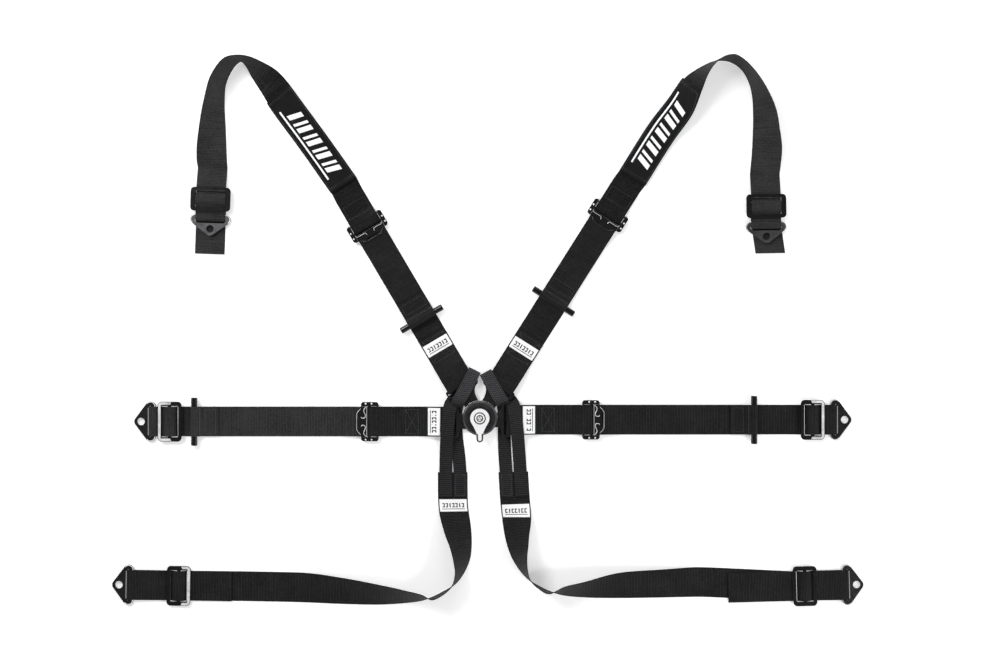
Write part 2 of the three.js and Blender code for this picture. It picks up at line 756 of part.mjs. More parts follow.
// Height of a slide: above two layers on the legs, where the bracket is far away, and
// above the layer that stands on the bracket's bar elsewhere.
function slideHeight(name) {
  if (name.startsWith('leg')) {
    return FLOOR_MID + LAYER + WEB_THICK / 2 + 2 * GAP;
  }
  const layersBelow = name.startsWith('shoulder') ? 1 : 0;
  return endHeights(layersBelow).loopHigh + WEB_THICK / 2 + GAP;
}

// Lap and leg end: over the slide's bar, round the bracket's bar and back on top.
function doubledEnd(end, slideZ) {
  const { loopLow, bracketZ, loopHigh } = endHeights(0);
  const loopR = (loopHigh - loopLow) / 2;
  const high = slideZ + SLIDE_THICK + GAP + WEB_THICK / 2;
  const turnX = BRACKET_SLOT[1] - 0.5;
  const lift = LAYER + 0.05;
  const border = SLIDE_LENGTH / 2;
  const outerLow = Math.min(loopHigh, slideZ - WEB_THICK / 2 - GAP);
  const outerBump = slideBump(end.slide, outerLow, high + lift, 0).slice(6).reverse();
  const innerBump = slideBump(end.slide, FLOOR_MID, high, lift).slice(0, 6).reverse();
  return [
    [end.slide + border + 2, FLOOR_MID],
    ...slideBump(end.slide, FLOOR_MID, high, 0),
    [end.slide - border, FLOOR_MID],
    ...arc(turnX, bracketZ + BRACKET_THICK / 2, loopR, 270, 90),
    [BRACKET_END + 1, loopHigh],
    [end.slide - border - 0.5, outerLow],
    ...outerBump,
    ...innerBump,
    [end.slide + border, FLOOR_MID + lift],
    [end.slide + end.tail, FLOOR_MID + lift],
  ];
}

// Shoulder end: over the slide's bar, down through the bracket, back beneath it, and the
// free tail folded to hang past the bracket.
function shoulderEnd(end, slideZ) {
  const { loopLow, bracketZ, loopHigh } = endHeights(1);
  const loopR = (loopHigh - loopLow) / 2;
  const high = slideZ + SLIDE_THICK + GAP + WEB_THICK / 2;
  const turnX = BRACKET_SLOT[1] - 0.5;
  const border = SLIDE_LENGTH / 2;
  const foldX = end.slide + 6;
  const lean = (x) => end.lean * (BRACKET_END - x);
  return [
    [end.slide + border + 34, FLOOR_MID],
    [end.slide + border, loopHigh],
    ...slideBump(end.slide, loopHigh, high, 0),
    [end.slide - border, loopHigh],
    ...arc(turnX, bracketZ + BRACKET_THICK / 2, loopR, 90, 270),
    [foldX - 2, loopLow],
    ...arc(foldX, FLOOR_MID + LAYER / 2, LAYER / 2, 90, -90, 4),
    [BRACKET_END, FLOOR_MID, lean(BRACKET_END)],
    [0, FLOOR_MID, lean(0)],
    [-end.tail, FLOOR_MID, lean(-end.tail)],
  ];
}

// Narrow loop over and under the buckle straps, with a round fold between the two runs.
function narrowLoop({ over, fold, under }) {
  const [fx, fy] = fold;
  const before = over[over.length - 1];
  const run = new THREE.Vector3(fx - before[0], fy - before[1], 0).normalize();
  const foldR = (LOOP_TOP_Z - FLOOR_MID) / 2;
  const way = (points) => {
    const through = points.map(([x, y, z]) => new THREE.Vector3(x, y, z));
    return new THREE.CatmullRomCurve3(through, false, 'centripetal');
  };
  const [overSteps, foldSteps, underSteps] = [16, 8, 14];
  const route = way([...over, [fx, fy, LOOP_TOP_Z]]).getPoints(overSteps);
  for (let i = 1; i < foldSteps; i += 1) {
    const angle = Math.PI * (0.5 - i / foldSteps);
    const out = new THREE.Vector3(fx, fy, FLOOR_MID + foldR).addScaledVector(run, foldR * Math.cos(angle));
    route.push(out.setZ(FLOOR_MID + foldR + foldR * Math.sin(angle)));
  }
  route.push(...way([[fx, fy, FLOOR_MID], ...under]).getPoints(underSteps));
  route.forEach((point) => point.setZ(Math.max(point.z, FLOOR_MID)));
  return route.map((centre, i) => {
    const ahead = route[Math.min(i + 1, route.length - 1)];
    const behind = route[Math.max(i - 1, 0)];
    const plan = new THREE.Vector3(ahead.x - behind.x, ahead.y - behind.y, 0);
    if (i > overSteps + foldSteps) {
      plan.negate();
    } else if (i >= overSteps) {
      plan.copy(run);
    }
    const half = new THREE.Vector3(-plan.y, plan.x, 0).setLength(NARROW_WIDTH / 2);
    return { centre, half };
  });
}

// Stretches meet with their edges the same way round.
function joinStretches(stretches) {
  const whole = [];
  for (const stretch of stretches) {
    const sign = whole.length && whole[whole.length - 1].half.dot(stretch[0].half) < 0 ? -1 : 1;
    whole.push(...stretch.map(({ centre, half }) => ({ centre, half: half.clone().multiplyScalar(sign) })));
  }
  return whole;
}

// The pad covers the strap's top face from one station to another.
function padStations(bend, [from, to]) {
  const stations = [];
  for (let i = Math.ceil(from); i <= to; i += 1) {
    const { centre, half } = bend[i];
    const tangent = bend[i + 1].centre.clone().sub(bend[Math.max(i - 1, 0)].centre);
    const normal = tangent.cross(half).normalize();
    normal.multiplyScalar(Math.sign(normal.z) * (WEB_THICK / 2 + 2 * GAP + PAD_THICK / 2));
    stations.push({ centre: centre.clone().add(normal), half: half.clone().setLength(PAD_WIDTH / 2) });
  }
  return stations;
}

// ---------------------------------------------------------------- assembly

add('buckle_back_plate', backPlate(), 'black_steel');
add('buckle_housing', housing(), 'black_steel');
add('cam_spindle', spindle(), 'inner_steel');
add('return_spring', returnSpring(), 'inner_steel');
add('rotary_handle', handle(), 'silver');

for (const [name, arm] of Object.entries(ARMS)) {
  const frame = frameAt(arm);
  const pinBase = TONGUE_BASE + TONGUE_THICK + GAP;
  const pin = upright(PIN_R, pinBase, pinBase + PIN_LENGTH).translate(LATCH_R, 0, 0);
  add(`${name}_lock_pin`, pin, 'inner_steel', frame);
  add(`${name}_tongue`, tongue(arm.fold), 'satin_plate', frame);

  const onLap = name.startsWith('lap');
  const wayOut = onLap ? 1 : -1;
  const turn = new THREE.Matrix4().makeRotationZ(onLap ? 0 : Math.PI).setPosition(arm.adjuster, 0, 0);
  const adjusterAt = frame.clone().multiply(turn);
  add(`${name}_adjuster_frame`, adjusterFrame(), 'black_steel', adjusterAt);
  add(`${name}_lock_bar`, lockBar(), 'inner_steel', adjusterAt);
  add(`${name}_release_tab`, releaseTab(), 'black_steel', adjusterAt);

  const lockX = arm.adjuster + wayOut * LOCK_BAR.s;
  add(`${name}_tail_webbing`, strap(sideView(tailRoute(lockX, arm.pull, wayOut))), 'webbing', frame);
  add(`${name}_pull_bar`, pullBar(arm.pull), 'black_steel', frame);
  if (onLap) {
    add(`${name}_short_webbing`, strap(sideView(lapShortRoute(arm))), 'webbing', frame);
  } else {
    add(`${name}_lower_webbing`, strap(sideView(shoulderLowerRoute(arm))), 'webbing', frame);
  }
}

for (const [name, end] of Object.entries(ENDS)) {
  const frame = frameAt(end);
  const layersBelow = name.startsWith('shoulder') ? 1 : 0;
  const slide = threeBarSlide(slideHeight(name)).translate(end.slide, 0, 0);
  add(`${name}_three_bar_slide`, slide, 'black_steel', frame);
  add(`${name}_end_bracket`, bracket(endHeights(layersBelow).bracketZ), 'satin_plate', frame);
}

// A lap strap's outer part runs straight from its lock bar to its bracket.
for (const name of ['lap_left', 'lap_right']) {
  const start = place(sideView(lapAnchorStart(ARMS[name])), frameAt(ARMS[name]));
  const finish = place(sideView(doubledEnd(ENDS[name], slideHeight(name))), frameAt(ENDS[name]));
  add(`${name}_anchor_webbing`, strap(joinStretches([start, finish])), 'webbing');
}

const SHOULDER_BENDS = { shoulder_left: SHOULDER_LEFT_BEND, shoulder_right: SHOULDER_RIGHT_BEND };
for (const [name, rows] of Object.entries(SHOULDER_BENDS)) {
  const start = place(sideView(shoulderUpperStart(ARMS[name])), frameAt(ARMS[name]));
  const bend = bendStations(rows, BEND_STEPS, true);
  const finish = place(sideView(shoulderEnd(ENDS[name], slideHeight(name))), frameAt(ENDS[name]));
  add(`${name}_upper_webbing`, strap(joinStretches([start, bend, finish])), 'webbing');
  add(`${name}_pad`, strap(padStations(bend, PADS[name]), PAD_THICK), 'pad');
}

for (const [name, rows] of Object.entries({ leg_left: LEG_LEFT_BEND, leg_right: LEG_RIGHT_BEND })) {
  const bend = bendStations(rows, BEND_STEPS, false);
  const finish = place(sideView(doubledEnd(ENDS[name], slideHeight(name))), frameAt(ENDS[name]));
  add(`${name}_webbing`, strap(joinStretches([bend, finish])), 'webbing');
}
add('leg_left_narrow_loop', strap(narrowLoop(LOOP_LEFT)), 'webbing');
add('leg_right_narrow_loop', strap(narrowLoop(LOOP_RIGHT)), 'webbing');

export default harness;
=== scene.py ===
import math

import bmesh
import bpy
from mathutils import Matrix, Vector


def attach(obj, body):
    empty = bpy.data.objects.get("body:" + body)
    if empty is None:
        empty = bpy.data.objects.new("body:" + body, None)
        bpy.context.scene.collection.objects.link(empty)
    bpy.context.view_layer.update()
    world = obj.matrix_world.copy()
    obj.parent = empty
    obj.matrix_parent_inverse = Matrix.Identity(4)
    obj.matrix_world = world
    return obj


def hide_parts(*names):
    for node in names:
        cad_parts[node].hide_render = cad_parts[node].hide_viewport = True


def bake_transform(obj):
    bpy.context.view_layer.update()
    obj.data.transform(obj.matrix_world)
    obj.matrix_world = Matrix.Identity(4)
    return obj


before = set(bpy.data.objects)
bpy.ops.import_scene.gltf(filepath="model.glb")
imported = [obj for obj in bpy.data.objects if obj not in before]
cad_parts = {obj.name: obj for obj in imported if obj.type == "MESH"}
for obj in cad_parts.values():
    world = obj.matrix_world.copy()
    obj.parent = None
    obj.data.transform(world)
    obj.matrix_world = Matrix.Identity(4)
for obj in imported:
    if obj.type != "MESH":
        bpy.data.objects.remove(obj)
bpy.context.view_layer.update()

# Racing harness laid out flat. Lengths below are millimetres; MM turns them into metres.
MM = 0.001

# ---------------- dimensions

GAP = 0.3
WEB_WIDTH = 50
WEB_THICK = 1.4
LAYER = WEB_THICK + GAP
FLOOR_MID = TOP = WEB_THICK / 2
SEW_HALF = 20
SEW_LIFT = TOP + 0.02
WRAP = GAP + WEB_THICK / 2
NARROW_WIDTH = 22
BUCKLE_R = 29
COVER_TOP = 20
SPINDLE_R = 4
HANDLE_R = 16
HANDLE_REACH = 39.5
HANDLE_THICK = 4.5
TONGUE_BASE = 6
TONGUE_THICK = 2.5
TONGUE_NECK = 25
TONGUE_WIDE = 58
TONGUE_TIP = 15
TONGUE_NOSE = (14, 24)
TONGUE_SLOT = 6
TONGUE_BAR = 5
LATCH_R = 19.5
PIN_R = 3
FIXED_S, FIXED_Z, FIXED_R = 16, 4.6, 2.5
FIXED_WRAP = FIXED_R + WRAP
LOCK_S, LOCK_Z, LOCK_R = 28, 4.2, 2.5
LOCK_WRAP = LOCK_R + WRAP
BAR_Z = TONGUE_BASE + TONGUE_THICK / 2
BAR_WRAP = TONGUE_THICK / 2 + WRAP
ADJUSTER_INSIDE = WEB_WIDTH / 2 + 1
SLOT_SPACE = 1.2
SLIDE_LENGTH = 40
SLIDE_WIDTH = 67
SLIDE_THICK = 2.5
SLIDE_BORDER = 6.5
SLIDE_BAR = 6
SLIDE_CORNER = 6.5
BRACKET_TIP = 11.3
BRACKET_THICK = 3
BRACKET_HOLE_R = 6.25
BRACKET_LOBE_R = 8.5
BRACKET_WIDTH = 68
SHOULDER_SLOT = (9.6, 15.7)
NEAT_SLOT = (11.2, 15.7)
BRACKET_END = 27
BRACKET_HINGE = 26
BRACKET_SLOT_WIDTH = 53
PULL_BAR_R = 4.75
PULL_LOOP_END = 40
PAD_THICK = 3.5
PAD_WIDTH = 51

ARMS = {
    "shoulder_left": dict(x=0, y=0, angle=120.5, fold=58.5, adjuster=388, pull=192.6),
    "shoulder_right": dict(x=0, y=0, angle=57.7, fold=58.5, adjuster=417, pull=231.2),
    "lap_left": dict(x=0, y=-6.5, angle=180, fold=44, adjuster=170, pull=479.6),
    "lap_right": dict(x=0, y=-3.5, angle=0, fold=44, adjuster=171.5, pull=460.4),
}
ENDS = {
    "shoulder_left": dict(x=-453.7, y=317.4, angle=88, slide=49.5, tail=42, lean=0),
    "shoulder_right": dict(x=481.4, y=305, angle=91, slide=50.5, tail=28.5, lean=-0.13),
    "lap_left": dict(x=-570, y=-6.5, angle=0, slide=49, tail=20.5),
    "lap_right": dict(x=613.3, y=-3.5, angle=180, slide=54.5, tail=20.5),
    "leg_left": dict(x=-607.2, y=-281, angle=-1, slide=100.7, tail=89),
    "leg_right": dict(x=633.5, y=-280.9, angle=181.5, slide=87.2, tail=129),
}

# Cross-sections of the bends: the edge on the floor, then the edge that rises.
BENDS = {
    "shoulder_left": [
        (-250, 377.5, -208, 404.5), (-302, 452, -262, 481), (-349, 516, -309, 545),
        (-368, 547, -334, 576), (-385, 574, -364, 593), (-394, 591, -381, 599),
        (-402, 599, -399, 601), (-412, 592, -422, 596), (-427, 563, -444, 568),
        (-430, 531, -456, 530), (-428, 481, -468, 478), (-426, 430, -475.5, 430),
    ],
    "shoulder_right": [
        (235, 416, 278, 390), (286, 496, 328, 469), (318, 536, 354, 505),
        (346, 573, 369, 545), (361, 584, 376, 566), (379, 594, 384, 581),
        (391, 599, 394, 592), (405, 601, 405, 599), (420, 599, 421, 602),
        (433, 592, 435, 595), (444, 581, 448, 583), (453, 563, 462, 566),
        (458, 543, 475, 546), (460, 512, 492, 512), (459.5, 480, 500, 478),
        (457.5, 440, 507, 440),
    ],
    "leg_left": [
        (-21, -92, -71, -92), (-20, -148, -70, -148), (-15, -186, -61, -186),
        (-14, -216, -49.5, -214), (-17, -239, -43, -238), (-27, -262, -40.5, -252),
        (-41, -280, -45, -274), (-60, -292, -61, -290), (-80, -302, -79, -298),
        (-98, -308.5, -95, -290.5), (-122, -312, -119, -285), (-168, -315, -165.5, -276.5),
        (-230, -314, -230, -267), (-303, -311, -303, -261), (-400, -309, -400, -259),
    ],
    "leg_right": [
        (31, -92, 81, -91), (35, -150, 85, -148), (41, -195, 82.5, -194),
        (46, -216, 81, -210.5), (54, -237, 79, -225), (69, -260, 79, -246),
        (83, -274, 83.5, -265), (98, -283, 99, -280.5), (114, -291, 114, -288),
        (138, -299, 141, -277), (178, -303, 175, -270), (241, -304, 239, -257.5),
        (310, -303, 309, -254), (370, -302, 370, -252), (400, -303, 400, -253),
    ],
}

# ---------------- camera and light

scene = bpy.context.scene
camera_data = bpy.data.cameras.new("camera")
camera_data.lens = 50
camera_data.sensor_width = 36
camera = bpy.data.objects.new("camera", camera_data)
scene.collection.objects.link(camera)
camera.location = (0.0337, 0.1415, 2.34)
camera.rotation_euler = (0, 0, 0)
scene.camera = camera
scene.view_settings.view_transform = "Standard"


def node_tree(owner):
    """The empty node tree of a material or world."""
    owner.use_nodes = True
    owner.node_tree.nodes.clear()
    return owner.node_tree


def wire(tree, source, target):
    tree.links.new(source, target)


class Graph:
    """A small helper that builds shader nodes in order."""

    def __init__(self, tree):
        self.tree = tree

    def node(self, kind, **settings):
        made = self.tree.nodes.new(kind)
        for key, value in settings.items():
            setattr(made, key, value)
        return made

    def math(self, operation, a, b=None, clamp=False):
        made = self.node("ShaderNodeMath", operation=operation, use_clamp=clamp)
        for socket, value in zip(made.inputs, (a, b)):
            if value is None:
                continue
            if isinstance(value, (int, float)):
                socket.default_value = value
            else:
                wire(self.tree, value, socket)
        return made.outputs[0]

    def add(self, a, b, clamp=False):
        return self.math("ADD", a, b, clamp)

    def scaled(self, value, factor):
        return self.math("MULTIPLY", value, factor)

    def wave(self, value, pitch, shift=None):
        phase = self.scaled(value, 2 * math.pi / pitch)
        return self.math("SINE", phase if shift is None else self.add(phase, shift))

    def uv(self):
        split = self.node("ShaderNodeSeparateXYZ")
        coords = self.node("ShaderNodeTexCoord")
        wire(self.tree, coords.outputs["UV"], split.inputs[0])
        return split.outputs[0], split.outputs[1]

    def stretch(self, along, scale_along, across, scale_across):
        """Texture place from the two strap directions, each with its own scale."""
        place = self.node("ShaderNodeCombineXYZ")
        wire(self.tree, self.scaled(along, scale_along), place.inputs[0])
        wire(self.tree, self.scaled(across, scale_across), place.inputs[1])
        return place.outputs[0]

    def noise(self, scale, detail=3.0, vector=None):
        made = self.node("ShaderNodeTexNoise")
        made.inputs["Scale"].default_value = scale
        made.inputs["Detail"].default_value = detail
        if vector is None:
            vector = self.node("ShaderNodeTexCoord").outputs["Object"]
        wire(self.tree, vector, made.inputs["Vector"])
        return made.outputs[0]

    def ramp(self, factor, stops):
        made = self.node("ShaderNodeValToRGB")
        ramp = made.color_ramp
        while len(ramp.elements) < len(stops):
            ramp.elements.new(0.5)
        for element, (place, colour) in zip(ramp.elements, stops):
            element.position = place
            element.color = (*colour, 1)
        wire(self.tree, factor, made.inputs[0])
        return made.outputs[0]

    def bump(self, height, strength, distance):
        made = self.node("ShaderNodeBump")
        made.inputs["Strength"].default_value = strength
        made.inputs["Distance"].default_value = distance
        wire(self.tree, height, made.inputs["Height"])
        return made.outputs[0]

    def surface(self, colour, roughness, metallic=0.0, normal=None, sheen=0.0, coat=0.0, specular=0.5):
        shader = self.node("ShaderNodeBsdfPrincipled")
        for name, value in (("Base Color", colour), ("Roughness", roughness)):
            if isinstance(value, (int, float)):
                shader.inputs[name].default_value = value
            elif isinstance(value, tuple):
                shader.inputs[name].default_value = (*value, 1)
            else:
                wire(self.tree, value, shader.inputs[name])
        shader.inputs["Metallic"].default_value = metallic
        shader.inputs["Specular IOR Level"].default_value = specular
        shader.inputs["Sheen Weight"].default_value = sheen
        shader.inputs["Sheen Roughness"].default_value = 0.5
        shader.inputs["Coat Weight"].default_value = coat
        shader.inputs["Coat Roughness"].default_value = 0.12
        if normal is not None:
            wire(self.tree, normal, shader.inputs["Normal"])
        out = self.node("ShaderNodeOutputMaterial")
        wire(self.tree, shader.outputs[0], out.inputs[0])


YARN_PITCH, COLUMN_PITCH = 0.00125, 0.0062


def new_graph(name):
    material = bpy.data.materials.new(name)
    return material, Graph(node_tree(material))


def webbing_material(name, dark, light, rib_pitch, slant, relief, tone=0.0, painted_shade=None):
    """Woven strap: fine ribs across it and yarn columns along it. Painted shade given as (start, end, drop)
    darkens the strap before its start."""
    material, g = new_graph(name)
    along, across = g.uv()
    column = g.scaled(g.wave(g.math("ABSOLUTE", across), COLUMN_PITCH), slant)
    rib = g.wave(along, rib_pitch, g.add(column, g.scaled(g.noise(900, 1), 0.9)))
    height = g.add(rib, g.scaled(g.wave(across, YARN_PITCH), 0.45))
    bands = g.noise(1, 3, g.stretch(along, 260, across, 14))
    cloud = g.add(g.scaled(g.noise(24, 4), 0.3), g.scaled(bands, 0.3))
    speckle = g.scaled(g.noise(430, 2), 0.5)
    shade = g.add(g.scaled(rib, relief), g.add(cloud, speckle))
    if painted_shade:
        start, end, drop = painted_shade
        outer = g.math("DIVIDE", g.math("SUBTRACT", along, start), end - start, True)
        shade = g.add(shade, g.scaled(g.math("SUBTRACT", outer, 1.0), drop))
    colour = g.ramp(g.add(shade, tone, True), [(0.36, dark), (0.74, light)])
    g.surface(colour, 0.7, normal=g.bump(height, 0.6, 0.00025), sheen=0.03, specular=0.16)
    return material


def pad_material():
    """Smooth, matte pad cloth."""
    material, g = new_graph("pad_cloth")
    weave = g.noise(2600, 2)
    colour = g.ramp(g.noise(40, 3), [(0.3, grey(0.0035, 0.0005)), (0.75, grey(0.008, 0.001))])
    g.surface(colour, 0.8, normal=g.bump(weave, 0.35, 0.0002), sheen=0.02, specular=0.16)
    return material


def metal_material(name, dark, light, roughness, metallic, coat=0.0):
    """Metal or lacquer with a slight cloudiness in colour and gloss."""
    material, g = new_graph(name)
    colour = g.ramp(g.noise(60, 4), [(0.3, dark), (0.75, light)])
    rough = g.ramp(g.noise(150, 5), [(0.3, (roughness * 0.8,) * 3), (0.8, (min(1, roughness * 1.3),) * 3)])
    g.surface(colour, rough, metallic, normal=g.bump(g.noise(1800, 2), 0.25, 0.00004), coat=coat)
    return material


def plain_material(name, dark, light, roughness, scale):
    """Thread, label cloth, ink or floor: two close tones mixed by noise."""
    material, g = new_graph(name)
    colour = g.ramp(g.noise(scale, 3), [(0.3, dark), (0.7, light)])
    g.surface(colour, roughness, normal=g.bump(g.noise(2200, 2), 0.2, 0.0001))
    return material


def grey(level, blue=0.0):
    return level, level, level + blue


# A lighter copy of the same webbing for the left lap strap and the shoulders: painted light.
LIT_WEAVE = (grey(0.0008, 0.0002), grey(0.034, 0.001), 0.0026, 0.5)
WEBBING = webbing_material("webbing_weave", grey(0.0008, 0.0002), grey(0.022, 0.001), 0.0026, 0.5,
                           0.18, -0.07)
LIT_WEBBING = webbing_material("webbing_painted_light_weave", *LIT_WEAVE, 0.14, 0.06)
# The shoulder weave adds painted shade that darkens the strap on its stretch from the adjuster.
SHOULDER_WEBBING = webbing_material("webbing_shoulder_weave", *LIT_WEAVE, 0.1, 0.07, (0.3, 0.46, 0.26))
NARROW = webbing_material("narrow_weave", grey(0.005, 0.001), grey(0.062, 0.004), 0.0036, 2.2, 0.34)
NARROW_RUN = webbing_material("narrow_ribs", grey(0.001, 0.0005), grey(0.026, 0.002), 0.0032, 0.3, 0.3)
PAD = pad_material()
THREAD = plain_material("thread", grey(0.07, 0.005), grey(0.14, 0.01), 0.5, 900)
LABEL = plain_material("label_cloth", grey(0.9), grey(0.96), 0.55, 60)
INK = plain_material("grey_print", grey(0.008, 0.001), grey(0.02, 0.001), 0.6, 300)
PRINT = plain_material("white_print", grey(0.9), grey(0.96), 0.6, 90)
BLACK = metal_material("black_steel_gloss", grey(0.0015, 0.0005), grey(0.005, 0.001), 0.2, 0.0, coat=0.15)
SATIN = metal_material("satin_plate", grey(0.1, 0.005), grey(0.16, 0.005), 0.34, 0.9, coat=0.2)
DARK = metal_material("dark_plate", grey(0.004, 0.001), grey(0.011, 0.001), 0.26, 0.1, coat=0.2)
# Near-white finish for thin tubes laid on edges: painted highlights.
EDGE_HIGHLIGHT = metal_material("painted_edge_highlight", grey(0.78, 0.01), grey(0.92, 0.01), 0.3, 0.25)
# Bright band laid on some slides: painted reflection.
PAINTED_REFLECTION = metal_material("painted_reflection_band", grey(0.5, 0.01), grey(0.95, 0.01), 0.3, 0.2)
SILVER = metal_material("silver_handle", grey(0.9, 0.01), grey(0.97, 0.01), 0.26, 0.12)
COVER = metal_material("cover_gloss", grey(0.012, 0.001), grey(0.035, 0.002), 0.3, 0.3, coat=0.3)
INNER = metal_material("inner_steel", grey(0.22, 0.01), grey(0.36, 0.01), 0.32, 1.0)

# ---------------- meshes


def new_object(name, vertices, faces, material, uvs=None, smooth=True):
    """A mesh object from vertices in millimetres, in the harness frame."""
    mesh = bpy.data.meshes.new(name)
    mesh.from_pydata([tuple(c * MM for c in v) for v in vertices], [], faces)
    if uvs is not None:
        layer = mesh.uv_layers.new(name="UVMap")
        for loop in mesh.loops:
            layer.data[loop.index].uv = uvs[loop.vertex_index]
    if smooth:
        mesh.polygons.foreach_set("use_smooth", [True] * len(mesh.polygons))
    mesh.materials.append(material)
    obj = bpy.data.objects.new(name, mesh)
    scene.collection.objects.link(obj)
    return obj


def placed(name, vertices, faces, material, body, **options):
    """A new object that rides a body."""
    obj = new_object(name, vertices, faces, material, **options)
    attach(obj, body)
    return obj


def frame_at(spec):
    """A strap's own frame: x along the strap, y across it, z up."""
    turn = Matrix.Rotation(math.radians(spec["angle"]), 4, "Z")
    return Matrix.Translation((spec["x"], spec["y"], 0)) @ turn


def arc(x, z, radius, start, end, steps=10):
    points = []
    for i in range(steps + 1):
        angle = math.radians(start + (end - start) * i / steps)
        points.append((x + radius * math.cos(angle), z + radius * math.sin(angle)))
    return points


def side_view(points, spec):
    """Stations (middle, half-width vector) in the harness frame from side-view points (x, z[, y])."""
    matrix = frame_at(spec)
    half = matrix.to_3x3() @ Vector((0, WEB_WIDTH / 2, 0))
    return [(matrix @ Vector((p[0], p[2] if len(p) > 2 else 0, p[1])), half.copy()) for p in points]


def catmull(points, t):
    """Centripetal Catmull-Rom through points, for t from 0 to 1."""
    last = len(points) - 1
    position = t * last
    i = min(int(position), last - 1)
    weight = position - i
    p1, p2 = points[i], points[i + 1]
    p0 = points[i - 1] if i > 0 else p1 * 2 - p2
    p3 = points[i + 2] if i + 2 <= last else p2 * 2 - p1
    d0 = max((p1 - p0).length ** 0.5, 1e-4)
    d1 = max((p2 - p1).length ** 0.5, 1e-4)
    d2 = max((p3 - p2).length ** 0.5, 1e-4)
    m1 = ((p1 - p0) / d0 - (p2 - p0) / (d0 + d1) + (p2 - p1) / d1) * d1
    m2 = ((p2 - p1) / d1 - (p3 - p1) / (d1 + d2) + (p3 - p2) / d2) * d1
    w2, w3 = weight * weight, weight ** 3
    return (
        p1 * (2 * w3 - 3 * w2 + 1) + m1 * (w3 - 2 * w2 + weight)
        + p2 * (-2 * w3 + 3 * w2) + m2 * (w3 - w2)
    )


def bend_stations(rows, flipped, steps=200):
    """Stations through a bend's cross-sections; each gives one edge on the floor and the rising one."""
    low = [Vector((r[0], r[1], FLOOR_MID)) for r in rows]
    high = []
    for fx, fy, x, y in rows:
        spread = min(math.hypot(x - fx, y - fy), WEB_WIDTH)
        high.append(Vector((x, y, FLOOR_MID + math.sqrt(WEB_WIDTH ** 2 - spread ** 2))))
    stations = []
    for i in range(steps + 1):
        a = catmull(low, i / steps)
        b = catmull(high, i / steps)
        b.z = max(b.z, FLOOR_MID)
        half = (b - a).normalized() * (WEB_WIDTH / 2)
        stations.append((a + half, -half if flipped else half))
    return stations


def chain(*stretches):
    """Joins stretches with their edges the same way round."""
    whole = []
    for stretch in stretches:
        sign = -1 if whole and whole[-1][1].dot(stretch[0][1]) < 0 else 1
        whole += [(c, h * sign) for c, h in stretch]
    return whole


class Path:
    """A strap's smooth middle line with its half-width vectors and running length."""

    STEP = 1.3

    def __init__(self, stations):
        lengths = [0.0]
        for (a, _), (b, _) in zip(stations, stations[1:]):
            lengths.append(lengths[-1] + (b - a).length)
        total = lengths[-1]
        count = max(2, int(total / self.STEP))
        centres, halves = [], []
        j = 0
        for i in range(count + 1):
            s = total * i / count
            while j < len(stations) - 2 and lengths[j + 1] < s:
                j += 1
            run = max(lengths[j + 1] - lengths[j], 1e-6)
            w = min(max((s - lengths[j]) / run, 0), 1)
            centres.append(stations[j][0].lerp(stations[j + 1][0], w))
            halves.append(stations[j][1].lerp(stations[j + 1][1], w))
        for _ in range(2):
            centres = self.relax(centres)
            halves = self.relax(halves)
        width = stations[0][1].length
        self.centres = centres
        self.halves = [h.normalized() * width for h in halves]
        self.step = total / count
        self.total = total

    @staticmethod
    def relax(values):
        inner = [a * 0.25 + b * 0.5 + c * 0.25 for a, b, c in zip(values, values[1:], values[2:])]
        return [values[0], *inner, values[-1]]

    def index(self, s):
        return min(max(int(round(s / self.step)), 0), len(self.centres) - 1)

    def normal(self, i):
        ahead = self.centres[min(i + 1, len(self.centres) - 1)]
        behind = self.centres[max(i - 1, 0)]
        return (ahead - behind).cross(self.halves[i]).normalized()

    def at(self, s, v, lift):
        """The point at running length s, v from -1 to 1 across, lifted off the middle."""
        place = min(max(s / self.step, 0), len(self.centres) - 1.001)
        i = int(place)
        w = place - i
        centre = self.centres[i].lerp(self.centres[i + 1], w)
        half = self.halves[i].lerp(self.halves[i + 1], w)
        normal = self.normal(i).lerp(self.normal(i + 1), w).normalized()
        return centre + half * v + normal * lift


ACROSS = [-1, -0.985, -0.955, -0.92, -0.7, -0.35, 0, 0.35, 0.7, 0.92, 0.955, 0.985, 1]


def web_profile(v):
    """Half the thickness across a woven strap: a rounded, slightly fuller edge."""
    edge = abs(v)
    if edge >= 1:
        return 0.12
    if edge > 0.98:
        return 0.5
    if edge > 0.94:
        return 0.7
    if edge > 0.9:
        return 0.6
    return 0.64


def pad_profile(v):
    edge = abs(v)
    return PAD_THICK / 2 * max(0.12, (1 - edge ** 6)) ** 0.5


def ribbon(name, path, span, material, body, profile=web_profile, across=ACROSS, lift=0.0, width=1.0, u0=0.0):
    """A closed ribbon along the path; span is its first and last running length."""
    first, last = (path.index(s) for s in span)
    count = len(across)
    vertices, uvs, faces = [], [], []
    for i in range(first, last + 1):
        normal = path.normal(i)
        base = path.centres[i] + normal * lift
        for face in (1, -1):
            for v in across:
                vertices.append(base + path.halves[i] * v * width + normal * (face * profile(v)))
                uvs.append(((i * path.step + u0) * MM, v * path.halves[i].length * width * MM))
    rows = last - first + 1
    ring = 2 * count
    for i in range(rows - 1):
        a, b = i * ring, (i + 1) * ring
        for j in range(count - 1):
            faces.append((a + j, a + j + 1, b + j + 1, b + j))
            faces.append((a + count + j + 1, a + count + j, b + count + j, b + count + j + 1))
        faces.append((a + count, a, b, b + count))
        faces.append((a + count - 1, a + 2 * count - 1, b + 2 * count - 1, b + count - 1))
    for a, turned in ((0, False), ((rows - 1) * ring, True)):
        for j in range(count - 1):
            quad = (a + j, a + count + j, a + count + j + 1, a + j + 1)
            faces.append(quad[::-1] if turned else quad)
    obj = new_object(name, vertices, faces, material, uvs)
    if body:
        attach(obj, body)
    return obj


